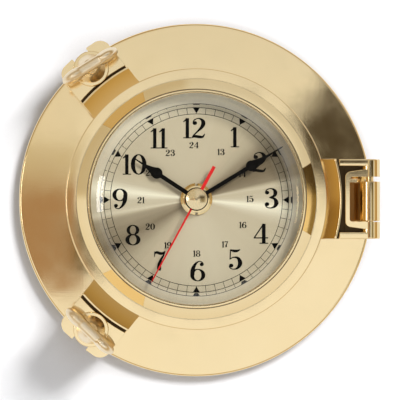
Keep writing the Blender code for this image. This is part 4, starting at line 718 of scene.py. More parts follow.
def paint(board, vector, tint, roughness, gloss=0.5):
    grain = board.shared(moulded_grain, vector)
    tone = board.blend(grain["Tone"], solid(tint), shaded(tint, 1.35, 0.001))
    rough = board.span(grain["Tone"], 0.3, 0.7, roughness * 0.85, roughness * 1.15)
    normal = board.bump(grain["Height"], 0.08, 0.00003)
    return {"Base Color": tone, "Roughness": rough, "Specular IOR Level": gloss, "Normal": normal}


def clear_glass(board, vector):
    """Glass that lets its own shadow through, so that the dial behind it stays lit."""
    film = board.span(board.noise(vector, 70.0, 4.0), 0.55, 0.8, 0.0, 0.012)
    clear = board.add("ShaderNodeBsdfTransparent", {"Color": (0.97, 0.975, 0.97, 1)})
    path = board.add("ShaderNodeLightPath").outputs
    soft = board.maths("MAXIMUM", path["Is Shadow Ray"], path["Is Diffuse Ray"])
    show(board, board.mix(soft, board.shader, clear))
    return {
        "Base Color": (0.985, 0.99, 0.98, 1), "Roughness": film, "IOR": 1.5,
        "Transmission Weight": 1.0, "Specular IOR Level": 0.1,
    }


def metal(board, vector, tint, roughness, stretch):
    """Plain brushed metal; the brushing runs along the axis with the small stretch."""
    lines = board.noise(board.stretched(vector, stretch), 1.0, 3.0)
    cloud = board.span(board.noise(vector, 150.0, 3.0), 0.3, 0.7)
    tone = board.blend(cloud, solid(tint), shaded(tint, 0.75))
    rough = board.span(lines, 0.3, 0.7, roughness * 0.8, roughness * 1.25)
    normal = board.bump(lines, 0.25, 0.00005)
    return {"Base Color": tone, "Metallic": 1.0, "Roughness": rough, "Normal": normal}


def circuit_green(board, vector):
    turned_up = board.add("ShaderNodeMapping", {"Vector": vector, "Rotation": (QUARTER, 0, 0)})
    inputs = {"Vector": turned_up.outputs[0], "Scale": 600.0, "Mortar Size": 0.03}
    traces = board.add("ShaderNodeTexBrick", inputs).outputs["Fac"]
    tone = board.blend(traces, (0.02, 0.16, 0.05, 1), (0.05, 0.30, 0.10, 1))
    normal = board.bump(traces, 0.4, 0.00004)
    return {"Base Color": tone, "Roughness": 0.35, "Normal": normal}


def battery_sleeve(board, vector):
    """A plain sleeve: dark body and a copper coloured shoulder at the plus end."""
    along = board.split(vector)[0]
    shoulder = board.maths("GREATER_THAN", along, 0.012)
    cap = board.maths("GREATER_THAN", along, 0.0247)
    sleeve = board.blend(shoulder, (0.02, 0.025, 0.05, 1), (0.62, 0.27, 0.10, 1))
    tone = board.blend(cap, sleeve, (0.62, 0.62, 0.60, 1))
    bare_metal = board.maths("MAXIMUM", shoulder, cap)
    dents = board.noise(vector, 180.0, 3.0)
    rough = board.span(dents, 0.3, 0.7, 0.25, 0.4)
    normal = board.bump(dents, 0.1, 0.0001)
    return {"Base Color": tone, "Metallic": bare_metal, "Roughness": rough, "Normal": normal}


# How each look is made: its maker, and what the maker is given beside board and vector
LOOKS = {
    "polished_brass": (polished_brass,),
    "leaf_brass": (polished_brass, LEAF_PAINTED_SHADE),
    "door_brass": (polished_brass, DOOR_PAINTED_SHADE),
    "wing_brass": (polished_brass, None, 4.6, 0.42),
    "cap_brass": (polished_brass, None, 2.6, 0.15),
    "satin_brass": (satin_brass,),
    "dial": (sunray_dial,),
    "glass": (clear_glass,),
    "rubber": (paint, (0.018, 0.018, 0.018), 0.75),
    "black_plastic": (paint, (0.025, 0.025, 0.027), 0.5),
    "white_plastic": (paint, (0.78, 0.77, 0.72), 0.35),
    "steel": (metal, (0.62, 0.61, 0.59), 0.28, (300.0, 4000.0, 4000.0)),
    "copper": (metal, (0.72, 0.30, 0.13), 0.3, (200.0, 200.0, 9000.0)),
    "circuit_board": (circuit_green,),
    "battery_wrap": (battery_sleeve,),
}


def material_for(look):
    """The material of that look, made the first time that it is asked for."""
    name = "clock_" + look
    found = bpy.data.materials.get(name)
    if found:
        return found
    finish = bpy.context.scene.clock_finish
    paints = {"black_paint": (paint, finish.ink, 0.4, 0.04), "red_paint": (paint, finish.red, 0.4, 0.12)}
    maker, *given = paints.get(look) or LOOKS[look]
    material, board, vector = new_material(name)
    board.give(board.shader, maker(board, vector, *given))
    return material


# Case, cover and screws

# Screws put in from behind: radius, radius and height of the head, height of the point, and slot
FLANGE_SCREW = (1.5, 2.8, 1.8, 12)
COVER_SCREW = (1.1, 2.1, 0.9, 6)
SCREW_SLOT = 0.8


def screw(name, sizes, back, matrix):
    """A slotted screw put in from behind: its head faces the wall."""
    radius, head_radius, head_height, front = sizes
    neck = back + head_height
    crown = back + head_height * 0.3
    profile = [(0, front), (radius, front, 0.2), (radius, neck), (head_radius, neck, 0.1)]
    profile += [(head_radius, crown, 0.2), (head_radius * 0.6, back + head_height * 0.06, 0.4), (0, back)]
    made = turned(name, softened(profile, 3), SMALL_STEPS)
    reach = head_radius + 1
    half = SCREW_SLOT / 2
    slot = block("slot", (-reach, -half, back - 1), (reach, half, back + head_height * 0.55))
    combine(made, [slot], "DIFFERENCE")
    made.data.transform(matrix)
    return made


def bored(name, steps, matrix):
    """A bit for a stepped hole, from the (radius, upper end) of each step, down past the wall."""
    profile = [(0, steps[0][1])]
    for (radius, top), (_, low) in zip(steps, steps[1:] + [(0, -1)]):
        profile += [(radius, top), (radius, low)]
    return turned(name, profile + [(0, -1)], SMALL_STEPS, matrix)


def cover_screw_places():
    settings = bpy.context.scene.clock_case
    radius = settings.cover_screw_circle / MM
    for i in range(COVER_SCREWS):
        angle = settings.cover_screw_turn + FULL_TURN * i / COVER_SCREWS
        yield Matrix.Rotation(angle, 4, "Z") @ Matrix.Translation((radius, 0, 0))


class CLOCK_OT_case(bpy.types.Operator):
    """Turn the flange and drum, with the seats that their screws need"""

    bl_idname = "clock.case"
    bl_label = "Case"

    def execute(self, context):
        case, hinge, dogs = map(millimetres, ("case", "hinge", "dogs"))
        seat = case.cover_radius + GAP
        back = case.cover_thickness + GAP
        body = turned("brass_case", softened([
            (case.drum_radius, case.drum_top, 0.35),
            (case.drum_radius, case.flange_thickness, case.drum_foot),
            (case.flange_radius, case.flange_thickness, case.flange_round),
            (case.flange_radius, 0, 0.4), (seat, 0, 0.25), (seat, back),
            (case.bore_radius, back, 0.2), (case.bore_radius, case.ledge, 0.2),
            (case.seat_radius, case.ledge), (case.seat_radius, case.drum_top, 0.3),
        ], 5))
        through_flange = case.flange_thickness + 1
        holes = [bored("hole", [(1.4, through_flange)], matrix) for matrix in cover_screw_places()]
        seats = [Matrix.Translation((hinge.axis_x - 1.3, 0, 0))]
        seats += [side @ Matrix.Translation((dogs.screw_x - 6.5, 0, 0)) for _, side in dog_sides()]
        holes += [bored("seat", [(1.8, through_flange), (3.1, 2.4)], matrix) for matrix in seats]
        combine(body, holes, "DIFFERENCE")
        place(body, "case", "polished_brass", ["case_body"], 30)

        screws = [screw("screw", FLANGE_SCREW, GAP, matrix) for matrix in seats]
        nodes = ["hinge_post_screw", "upper_dog_lug_screw", "lower_dog_lug_screw"]
        place(gather("flange_screws", screws), "case", "steel", nodes)
        return {"FINISHED"}


class CLOCK_OT_back_cover(bpy.types.Operator):
    """Make the back cover with its keyhole, and the three screws that hold it"""

    bl_idname = "clock.back_cover"
    bl_label = "Back cover"

    def execute(self, context):
        case = millimetres("case")
        top = case.cover_thickness
        rim = case.cover_radius
        cover = turned("turned_back_cover", softened([(0, top), (rim, top, 0.2), (rim, 0, 0.3), (0, 0)], 3))
        meet = math.acos(case.keyhole_neck / case.keyhole_head)
        head = (0, case.keyhole_height)
        neck = (0, case.keyhole_height + case.keyhole_rise)
        keyhole = arc(neck, case.keyhole_neck, 0, math.pi, 16)
        keyhole += arc(head, case.keyhole_head, math.pi - meet, FULL_TURN + meet, 40)
        tools = [prism("keyhole", [keyhole], -1, top + 1)]
        for matrix in cover_screw_places():
            tools.append(bored("seat", [(1.4, top + 1), (2.4, 1.2)], matrix))
        combine(cover, tools, "DIFFERENCE")
        place(cover, "case", "satin_brass", ["back_cover"], 30)

        screws = screw("cover_screws", COVER_SCREW, 0, next(cover_screw_places()))
        repeat_round(screws, COVER_SCREWS, material_for("steel"))
        nodes = [f"back_cover_screw_{i}" for i in (1, 2, 3)]
        place(screws, "case", "steel", nodes)
        return {"FINISHED"}


# Geometry Nodes: copies round the clock's axis


def round_tree():
    """Copies what it is given round the axis, a fixed step apart."""
    name = "copies_round_the_axis"
    tree = bpy.data.node_groups.get(name)
    if tree:
        return tree
    tree = bpy.data.node_groups.new(name, "GeometryNodeTree")
    new_socket = tree.interface.new_socket
    new_socket("Piece", in_out="INPUT", socket_type="NodeSocketGeometry")
    new_socket("Count", in_out="INPUT", socket_type="NodeSocketInt").default_value = 12
    new_socket("Step", in_out="INPUT", socket_type="NodeSocketFloat").default_value = FULL_TURN / 12
    new_socket("Finish", in_out="INPUT", socket_type="NodeSocketMaterial")
    new_socket("Copies", in_out="OUTPUT", socket_type="NodeSocketGeometry")
    board = Board(tree)
    given = board.add("NodeGroupInput").outputs
    points = board.add("GeometryNodeMeshLine", {"Count": given["Count"], "Offset": (0, 0, 0)})
    index = board.add("GeometryNodeInputIndex").outputs[0]
    angle = board.maths("MULTIPLY", index, given["Step"])
    spin = board.add("ShaderNodeCombineXYZ", {2: angle}).outputs[0]
    inputs = {"Points": points.outputs[0], "Instance": given["Piece"], "Rotation": spin}
    copies = board.add("GeometryNodeInstanceOnPoints", inputs).outputs[0]
    real = board.add("GeometryNodeRealizeInstances", {"Geometry": copies}).outputs[0]
    inputs = {"Geometry": real, "Material": given["Finish"]}
    return close_group(board, board.add("GeometryNodeSetMaterial", inputs).outputs[0])


def repeat_round(item, count, material):
    tree = round_tree()
    keys = {s.name: s.identifier for s in tree.interface.items_tree if s.in_out == "INPUT"}
    copies = item.modifiers.new("round_the_axis", "NODES")
    copies.node_group = tree
    for name, value in {"Count": count, "Step": FULL_TURN / count, "Finish": material}.items():
        copies[keys[name]] = value
    return settle(item)


# Door, glass and seals

# A cove climbs from the first of these slopes to the second
COVE_SLOPES = (math.radians(37), math.radians(41))
PLATE_THICKNESS = 1.3


def crest_sector(name, crest_radius, half_width, matrix):
    """A cove that climbs from the door's edge to a crest, between two flat ends."""
    door = millimetres("door")
    foot = door.band_front - 0.1
    back = door.back + LUG_RISE
    inner = door.radius - LUG_OVERLAP
    reach = crest_radius - door.crest_width - door.cove_root
    start, end = COVE_SLOPES
    profile = [(inner, door.band_front - GAP)]
    for i in range(CURVE_STEPS + 1):
        angle = start + (end - start) * i / CURVE_STEPS
        run = (math.sin(angle) - math.sin(start)) / (math.sin(end) - math.sin(start))
        climb = (math.cos(start) - math.cos(angle)) / (math.cos(start) - math.cos(end))
        profile.append((door.cove_root + reach * run, foot + (door.crest_front - foot) * climb))
    profile += [(crest_radius, door.crest_front), (crest_radius, back), (inner, back)]
    builder = bmesh.new()
    columns = []
    across = 24
    for k in range(across + 1):
        y = half_width * (2 * k / across - 1)
        columns.append([builder.verts.new((math.sqrt(r * r - y * y), y, z)) for r, z in profile])
    for left, right in zip(columns, columns[1:]):
        for i in range(len(profile)):
            j = (i + 1) % len(profile)
            builder.faces.new((left[i], left[j], right[j], right[i]))
    builder.faces.new(list(reversed(columns[0])))
    builder.faces.new(columns[-1])
    return soften_edges(shape(name, builder, matrix), 0.28, 3, 40)


def ear_outline(dogs):
    """The forked plate of a dog, with its inner edge beside the crest."""
    start = dogs.crest_radius + dogs.slot
    fork = dogs.fork / 2
    inset = dogs.plate_end - dogs.corner
    across = dogs.half_width - dogs.corner
    points = arc((inset, -across), dogs.corner, -QUARTER, 0, 12)
    mouth = [(dogs.plate_end + 9, fork + 9), (dogs.plate_end, fork, 0.9), (dogs.screw_x + 4, fork)]
    points += softened([(x, -y, *rounding) for x, y, *rounding in mouth])[1:-1]
    points += arc((dogs.screw_x, 0), fork, 1.5 * math.pi, QUARTER, 24)
    points += softened(mouth[::-1])[1:-1]
    points += arc((inset, across), dogs.corner, 0, QUARTER, 12)
    limit = math.asin(dogs.half_width / start)
    return points + arc((0, 0), start, limit, -limit, 20)


class CLOCK_OT_door(bpy.types.Operator):
    """Cast the door ring with its hinge lug and its two forked ears"""

    bl_idname = "clock.door"
    bl_label = "Door"

    def execute(self, context):
        door = millimetres("door")
        ring = turned("brass_door", softened(self.profile(door), 4))
        pieces = self.hinge_lug(door)
        for side, matrix in dog_sides():
            pieces += self.ear(side, matrix, door)
        combine(ring, pieces, "UNION")
        self.open_hinge(ring)
        place(ring, "door", "polished_brass", ["door_ring"], 29, "door_brass")
        return {"FINISHED"}

    def profile(self, door):
        """Lip, the fine groove beside it, slope, band, and the seats of the glass and its ring."""
        groove = door.lip_edge + 0.45
        groove_floor = door.lip_front - 0.85
        top = door.lip_front - 0.45
        slope_end = (door.band_inner - 0.3, door.band_front + 0.13)
        slope = []
        for i in range(1, CURVE_STEPS):
            share = i / CURVE_STEPS
            sag = door.slope_sag * math.sin(math.pi * share)
            height = top - (top - slope_end[1]) * share - sag
            slope.append((groove + (slope_end[0] - groove) * share, height))
        seat = door.glass_radius + GAP
        ring_seat = seat + 1.6
        return [
            (door.lip_bore, door.lip_front, 0.25), (door.lip_edge, door.lip_front, 0.2),
            (door.lip_edge, groove_floor), (groove, groove_floor), (groove, top), *slope, slope_end,
            (slope_end[0], door.band_front - 0.12), (door.band_inner, door.band_front - 0.12),
            (door.band_inner, door.band_front, 0.1), (door.radius, door.band_front, door.edge_round),
            (door.radius, door.back, 0.3), (ring_seat, door.back, 0.2), (ring_seat, SEAL_BACK),
            (seat, SEAL_BACK, 0.2), (seat, door.lip_back), (door.lip_bore, door.lip_back, 0.2),
        ]

    def hinge_lug(self, door):
        """Crest, web, plate, knuckles, two rails and the bead; no two ends lie in one plane."""
        hinge = millimetres("hinge")
        half = hinge.half_width
        back = door.back + LUG_RISE
        crest = crest_sector("hinge_crest", hinge.crest_radius, half, None)
        low = (door.radius - LUG_OVERLAP, 0.1 - half, back)
        web = block("web", low, (hinge.slot_end + 1, half - 0.1, back + 0.9))
        ends = half - 0.06
        plate = block("plate", (hinge.slot_end, -ends, back), (hinge.axis_x, ends, back + PLATE_THICKNESS))
        soften_edges(plate, 0.3)
        ends = half - 0.03
        barrel = rod(hinge.knuckle_radius, -ends, ends, 0.5)
        pieces = [crest, web, plate, turned("knuckles", barrel, ROUND_STEPS, along_pin(hinge))]
        for side in (1, -1):
            near, far = sorted((side * (half - hinge.rail), side * (half - 0.09)))
            low = (hinge.crest_radius - 0.9, near, back + GAP)
            pieces.append(soften_edges(block("rail", low, (hinge.axis_x + 0.5, far, RAIL_FRONT)), 0.45))
        end = hinge.axis_x - GAP
        left = hinge.window_left - hinge.bead
        flare = hinge.bead + hinge.flare
        outline = [
            (left, hinge.window_bottom - hinge.bead, 2.6), (end, hinge.window_bottom - flare, 0.3),
            (end, hinge.window_top + flare, 0.3), (left, hinge.window_top + hinge.bead, 2.6),
        ]
        bead = prism("bead", [softened(outline, 8)], back + GAP, RAIL_FRONT)
        return pieces + [soften_edges(bead, 0.5)]

    def open_hinge(self, ring):
        """Cuts the window for the fixed knuckle, and the bore for the pin."""
        hinge = millimetres("hinge")
        right = hinge.axis_x + hinge.knuckle_radius + 1
        window = [(hinge.window_left, hinge.window_bottom, 1.2), (right, hinge.window_bottom)]
        window += [(right, hinge.window_top), (hinge.window_left, hinge.window_top, 1.2)]
        cutter = prism("window", [softened(window, 6)], 19, 40)
        half = hinge.half_width + 1
        bore = turned("bore", rod(hinge.pin_radius + GAP, -half, half), SMALL_STEPS, along_pin(hinge))
        combine(ring, [cutter, bore], "DIFFERENCE")

    def ear(self, side, matrix, door):
        dogs = millimetres("dogs")
        crest = crest_sector(side + "_crest", dogs.crest_radius, dogs.half_width, matrix)
        half = dogs.half_width - 0.35
        low = (door.radius + 0.8, -half, dogs.plate_back + 0.05)
        high = (dogs.crest_radius + dogs.slot + 1, half, dogs.plate_front - dogs.slot_depth)
        web = block(side + "_web", low, high, matrix)
        plate = prism(side + "_ear", [ear_outline(dogs)], dogs.plate_back, dogs.plate_front, matrix)
        return [crest, web, soften_edges(plate, 0.4)]


class CLOCK_OT_glass(bpy.types.Operator):
    """Cut the round pane with its wide bevel"""

    bl_idname = "clock.glass"
    bl_label = "Glass"

    def execute(self, context):
        door = millimetres("door")
        rim = door.glass_radius
        pane = turned("bevelled_glass", softened([
            (0, door.glass_front), (rim - door.bevel_width, door.glass_front),
            (rim, door.glass_front - door.bevel_drop, 0.08), (rim, door.glass_back, 0.15),
            (0, door.glass_back),
        ], 2))
        place(pane, "door", "glass", ["glass"], 5)
        return {"FINISHED"}


class CLOCK_OT_seals(bpy.types.Operator):
    """Turn the rings and gaskets round the glass, the dial and the case"""

    bl_idname = "clock.seals"
    bl_label = "Rings and gaskets"

    def execute(self, context):
        pane = millimetres("door").glass_radius
        dial = millimetres("dial").radius
        brass = "satin_brass"
        # Each ring: name, inner and outer radius, back and front, body, finish and solid
        rings = (
            ("glass_seal", pane - 1.3, pane, SEAL_BACK, 27.8, "door", "rubber", "glass_gasket"),
            ("glass_keeper", pane - 1.3, pane + 1.6, 24.7, 26.7, "door", brass, "glass_retaining_ring"),
            ("case_seal", 49.0, 51.2, 22.3, 23.3, "case", "rubber", "case_gasket"),
            ("dial_keeper", dial - 1.5, dial, 20.8, 21.6, "case", brass, "dial_retaining_ring"),
            ("dial_cushion", 4.2, 9.0, 18.6, 19.4, "case", "rubber", "dial_washer"),
        )
        for name, inner, outer, back, front, body, slot, node in rings:
            place(turned(name, band(inner, outer, back, front)), body, slot, [node])
        return {"FINISHED"}


# Hinge, dogs and wing screws


class CLOCK_OT_hinge(bpy.types.Operator):
    """Make the fixed hinge leaf on the flange and the pin through the knuckles"""

    bl_idname = "clock.hinge"
    bl_label = "Hinge leaf and pin"

    def execute(self, context):
        hinge = millimetres("hinge")
        seat = millimetres("case").flange_thickness + GAP
        radius = hinge.knuckle_radius
        axis = (hinge.axis_x, hinge.axis_z)
        left = hinge.axis_x - radius
        heel, nose = 1.8, 16
        foot = (60.0, seat + 3)
        outline = [(foot[0], seat), (hinge.axis_x + heel, seat)]
        outline += arc(axis, radius, -math.acos(heel / radius), math.pi, 36)
        outline += softened([(left, nose), (left, foot[1], 1.2), foot])[1:-1] + [foot]
        hole = circle(axis, hinge.pin_radius + GAP)
        leaf = prism("hinge_leaf", [outline, hole], -hinge.leaf_top, -hinge.leaf_bottom, SIDE_VIEW)
        soften_edges(leaf, 0.35)
        place(leaf, "case", "polished_brass", ["hinge_post"], 32, "leaf_brass")
        half = hinge.half_width - GAP
        pin = turned("hinge_rod", rod(hinge.pin_radius, -half, half, 0.5), SMALL_STEPS, along_pin(hinge))
        place(pin, "case", "polished_brass", ["hinge_pin"])
        return {"FINISHED"}


class CLOCK_OT_dogs(bpy.types.Operator):
    """Make the two blocks on the flange and the loose washers above them"""

    bl_idname = "clock.dogs"
    bl_label = "Dog blocks and washers"

    def execute(self, context):
        dogs, case = map(millimetres, ("dogs", "case"))
        seat = case.flange_thickness + GAP
        top = case.drum_top - GAP
        start, end = dogs.screw_x - 12.5, dogs.plate_end - 1.4
        half, corner = dogs.half_width, dogs.corner
        outline = softened([(start, -half), (end, -half, corner), (end, half, corner), (start, half)], 12)
        mouth, hole, floor = 4.2, 3.6, 15.5
        bore = [(0, top + 1), (mouth, top + 1), (mouth, top), (hole, top - mouth + hole)]
        bore += [(hole, floor), (0, floor)]
        washer_bore, washer_back, washer_front = 3.3, 26.3, 27.5
        for side, matrix in dog_sides():
            at = matrix @ Matrix.Translation((dogs.screw_x, 0, 0))
            lug = soften_edges(prism(side + "_dog_block", [outline], seat, top, matrix), 0.5)
            combine(lug, [turned("bore", bore, SMALL_STEPS, at)], "DIFFERENCE")
            place(lug, "case", "polished_brass", [side + "_dog_lug"], 32)
            ring = band(washer_bore, dogs.washer_radius, washer_back, washer_front, 0.35)
            washer = turned(side + "_loose_washer", ring, ROUND_STEPS, at)
            place(washer, side + "_washer", "polished_brass", [side + "_dog_washer"])
        return {"FINISHED"}


class CLOCK_OT_wing_screws(bpy.types.Operator):
    """Form the two wing screws, with a rolled thread and soft cast wings"""

    bl_idname = "clock.wing_screws"
    bl_label = "Wing screws"

    def execute(self, context):
        dogs = millimetres("dogs")
        spot = Matrix.Translation((dogs.screw_x, 0, dogs.boss_back))
        for side, matrix in dog_sides():
            turning = getattr(context.scene.clock_dogs, side + "_turn")
            made = gather(side + "_winged_screw", [self.head(dogs), self.shank(dogs)])
            made.data.transform(matrix @ spot @ Matrix.Rotation(turning, 4, "Z"))
            place(made, side + "_screw", "polished_brass", [side + "_wing_screw"], 60, "wing_brass")
        return {"FINISHED"}

    def head(self, dogs):
        """Boss and wings, melted together by a remesh and smoothed as a casting is."""
        radius, neck = dogs.boss_radius, dogs.boss_top
        top = 13.0
        boss = [
            (0, top), (neck * 0.8, top, 1.2), (neck, 6.2, 2.5), (radius * 0.87, 3.2, 2.0),
            (radius, 1.2, 0.8), (radius, 0, 0.4), (0, 0),
        ]
        head = turned("wing_head", softened(boss, 6), ROUND_STEPS)
        flatness = 0.9
        parts = []
        for end in (1, -1):
            wing = bmesh.new()
            bmesh.ops.create_uvsphere(wing, u_segments=40, v_segments=20, radius=1)
            for vert in wing.verts:
                flat = math.copysign(abs(vert.co.x) ** flatness, vert.co.x) * dogs.wing_thickness / 2
                vert.co = (flat, vert.co.y * dogs.wing_radius, vert.co.z * dogs.wing_radius)
            middle = Matrix.Translation((0, end * dogs.wing_spread, dogs.wing_height))
            parts.append(shape("wing", wing, middle))
        half, below, above = 2.1, 3.5, 4.9
        low = (-half, -dogs.wing_spread, dogs.wing_height - below)
        web = block("web", low, (half, dogs.wing_spread, dogs.wing_height + above))
        parts.append(soften_edges(web, 1.5, 4))
        combine(head, parts, "UNION")
        melt = head.modifiers.new("melt", "REMESH")
        melt.mode = "VOXEL"
        melt.voxel_size = 0.3
        calm = head.modifiers.new("calm", "SMOOTH")
        calm.factor = 0.5
        calm.iterations = 9
        return settle(head)

    def shank(self, dogs):
        """A rod whose skin rises and falls along a helix, so that it carries a thread."""
        low = dogs.screw_tip - dogs.boss_back
        high = 0.6
        levels = 96
        depth = 0.42
        builder = bmesh.new()
        rings = []
        for k in range(levels + 1):
            z = high + (low - high) * k / levels
            fade = max(0.0, min(1.0, (z - low) / 0.9 + 0.15, max(0.0, -z - 1.0) / 0.8))
            taper = max(0.0, 0.5 - (z - low)) * 0.9
            ring = []
            for i in range(SMALL_STEPS):
                angle = FULL_TURN * i / SMALL_STEPS
                wave = (z / dogs.thread_pitch * 2 - i / SMALL_STEPS) % 1
                cut = depth * (1 - abs(2 * wave - 1)) * fade
                radius = dogs.screw_radius - 0.02 - cut - taper
                ring.append(builder.verts.new((radius * math.cos(angle), radius * math.sin(angle), z)))
            rings.append(ring)
        for upper, lower in zip(rings, rings[1:]):
            join_rings(builder, upper, lower)
        builder.faces.new(rings[0])
        builder.faces.new(list(reversed(rings[-1])))
        return shape("thread", builder)


# Dial, print and hands


class CLOCK_OT_dial(bpy.types.Operator):
    """Cut the dial plate and fit the nut that holds it to the movement"""

    bl_idname = "clock.dial"
    bl_label = "Dial and nut"

    def execute(self, context):
        dial = millimetres("dial")
        bore = 4.2
        plate = turned("sunray_plate", band(bore, dial.radius, dial.back, dial.front, 0.1))
        place(plate, "case", "dial", ["dial_plate"])
        back = dial.front + GAP
        rim, crown, rim_height, crown_height, bore_height = 6.8, 5.6, 0.7, 1.35, 1.5
        nut = turned("spanner_nut", softened([
            (crown, back + crown_height, 0.3), (rim, back + rim_height, 0.3), (rim, back, 0.2),
            (bore, back), (bore, back + bore_height, 0.3),
        ], 4), ROUND_STEPS)
        half = 0.5
        notches = []
        for end in (1, -1):
            low, high = sorted((end * crown, end * (rim + 1)))
            notches.append(block("notch", (-half, low, back - 1), (half, high, back + 3)))
        combine(nut, notches, "DIFFERENCE")
        place(nut, "case", "polished_brass", ["dial_nut"])
        return {"FINISHED"}


class CLOCK_OT_minute_track(bpy.types.Operator):
    """Print the minute track: two circles, sixty ticks and a wedge at each hour"""

    bl_idname = "clock.minute_track"
    bl_label = "Minute track"

    def execute(self, context):
        dial = millimetres("dial")
        back, front = dial.front, dial.front + dial.ink
        ink = material_for("black_paint")
        line = dial.track_line / 2
        pieces = []
        for radius in (dial.track_outer, dial.track_inner):
            pieces.append(turned("circle", band(radius - line, radius + line, back, front, 0)))
        half = dial.tick / 2
        low = (-half, dial.track_inner + line, back)
        tick = block("minute_tick", low, (half, dial.track_outer - line, front))
        pieces.append(repeat_round(tick, 60, ink))
        half = dial.wedge / 2
        base = dial.track_outer - line
        corners = [(-half, base), (0, dial.track_inner + 0.25), (half, base)]
        wedge = prism("hour_wedge", [corners], back, front + 0.005)
        pieces.append(repeat_round(wedge, 12, ink))
        track = gather("minute_track", pieces)
        track.data.transform(Matrix.Translation((0, -dial.track_drop, 0)))
        place(track, "case", "black_paint")
        return {"FINISHED"}


# Digits in shares of their height: strokes as (x, y, width) knots, bars as left, right, low and high,
# dots as (x, y, radius), and rings as (x, y, radius across and up, width at the sides and at the top)
DIGIT_WIDTH = {"1": 0.46, "4": 0.70}
USUAL_WIDTH = 0.65
LAST_SPACE = 0.04
DIGITS = {
    "0": {"rings": [(0.325, 0.5, 0.325, 0.5, 0.175, 0.05)]},
    "1": {
        "bars": [(0.15, 0.335, 0.02, 0.985), (0.02, 0.47, 0.0, 0.05)],
        "strokes": [[(0.02, 0.80, 0.04), (0.12, 0.865, 0.075), (0.22, 0.97, 0.06)]],
    },
    "2": {
        "dots": [(0.145, 0.745, 0.095)],
        "strokes": [
            [(0.075, 0.77, 0.05), (0.13, 0.90, 0.05), (0.29, 0.97, 0.055), (0.44, 0.90, 0.12),
             (0.50, 0.74, 0.18), (0.43, 0.54, 0.14), (0.25, 0.33, 0.08), (0.09, 0.14, 0.06),
             (0.035, 0.02, 0.05)],
            [(0.03, 0.05, 0.06), (0.15, 0.10, 0.13), (0.32, 0.075, 0.14), (0.47, 0.075, 0.10),
             (0.555, 0.22, 0.035)],
        ],
    },
    "3": {
        "dots": [(0.145, 0.775, 0.09), (0.14, 0.215, 0.095)],
        "strokes": [
            [(0.075, 0.80, 0.05), (0.14, 0.92, 0.05), (0.30, 0.972, 0.055), (0.445, 0.90, 0.12),
             (0.49, 0.755, 0.165), (0.43, 0.61, 0.12), (0.24, 0.535, 0.05)],
            [(0.24, 0.535, 0.05), (0.45, 0.47, 0.12), (0.53, 0.275, 0.185), (0.45, 0.095, 0.12),
             (0.29, 0.027, 0.055), (0.13, 0.07, 0.05), (0.065, 0.19, 0.05)],
        ],
    },
    "4": {
        "bars": [(0.40, 0.565, 0.02, 0.97), (0.03, 0.68, 0.255, 0.315), (0.29, 0.68, 0.0, 0.05)],
        "strokes": [[(0.05, 0.285, 0.06), (0.26, 0.62, 0.06), (0.475, 0.97, 0.055)]],
    },
    "5": {
        "dots": [(0.145, 0.205, 0.09)],
        "strokes": [
            [(0.10, 0.985, 0.035), (0.22, 0.925, 0.12), (0.38, 0.915, 0.12), (0.52, 0.985, 0.035)],
            [(0.115, 0.97, 0.05), (0.105, 0.75, 0.05), (0.095, 0.50, 0.05)],
            [(0.095, 0.51, 0.05), (0.22, 0.60, 0.055), (0.42, 0.57, 0.12), (0.515, 0.33, 0.185),
             (0.43, 0.11, 0.12), (0.27, 0.027, 0.055), (0.12, 0.07, 0.05), (0.06, 0.19, 0.05)],
        ],
    },
    "6": {
        "rings": [(0.335, 0.305, 0.315, 0.305, 0.165, 0.05)],
        "dots": [(0.50, 0.825, 0.085)],
        "strokes": [
            [(0.11, 0.30, 0.175), (0.13, 0.58, 0.17), (0.23, 0.83, 0.11), (0.38, 0.967, 0.055),
             (0.51, 0.93, 0.05), (0.56, 0.84, 0.05)],
        ],
    },
    "7": {
        "strokes": [
            [(0.045, 0.70, 0.035), (0.055, 0.83, 0.05), (0.06, 0.97, 0.05)],
            [(0.055, 0.86, 0.07), (0.16, 0.925, 0.13), (0.32, 0.875, 0.14), (0.46, 0.885, 0.12),
             (0.565, 0.985, 0.04)],
            [(0.56, 0.97, 0.05), (0.50, 0.80, 0.075), (0.37, 0.58, 0.12), (0.29, 0.36, 0.175),
             (0.275, 0.16, 0.205), (0.28, 0.04, 0.17)],
        ],
    },
    "8": {"rings": [(0.325, 0.745, 0.265, 0.255, 0.14, 0.05), (0.325, 0.275, 0.315, 0.275, 0.17, 0.05)]},
}


def spun(entry):
    """The same digit turned half round, which makes a 9 of a 6."""

    def turn_round(rows):
        return [(USUAL_WIDTH - x, 1 - y, *rest) for x, y, *rest in rows]

    strokes = [turn_round(stroke) for stroke in entry["strokes"]]
    return {"rings": turn_round(entry["rings"]), "dots": turn_round(entry["dots"]), "strokes": strokes}


DIGITS["9"] = spun(DIGITS["6"])


def through(knots, steps=6):
    """Points on a smooth line through the knots."""
    ends = [knots[0]] + list(knots) + [knots[-1]]
    points = []
    for a, b, c, d in zip(ends, ends[1:], ends[2:], ends[3:]):
        for i in range(steps):
            t = i / steps
            point = []
            for k in range(3):
                curve = 2 * b[k] + (c[k] - a[k]) * t
                curve += (2 * a[k] - 5 * b[k] + 4 * c[k] - d[k]) * t * t
                point.append((curve + (3 * b[k] - a[k] - 3 * c[k] + d[k]) * t ** 3) / 2)
            points.append(point)
    points.append(list(knots[-1]))
    return points


def stroke_outline(knots, weight):
    line = through(knots)
    left, right = [], []
    for i, (x, y, width) in enumerate(line):
        before, after = line[max(0, i - 1)], line[min(len(line) - 1, i + 1)]
        way = Vector((after[0] - before[0], after[1] - before[1])).normalized()
        reach = max(0.012, width * weight / 2)
        left.append((x - way.y * reach, y + way.x * reach))
        right.append((x + way.y * reach, y - way.x * reach))
    return right + left[::-1]


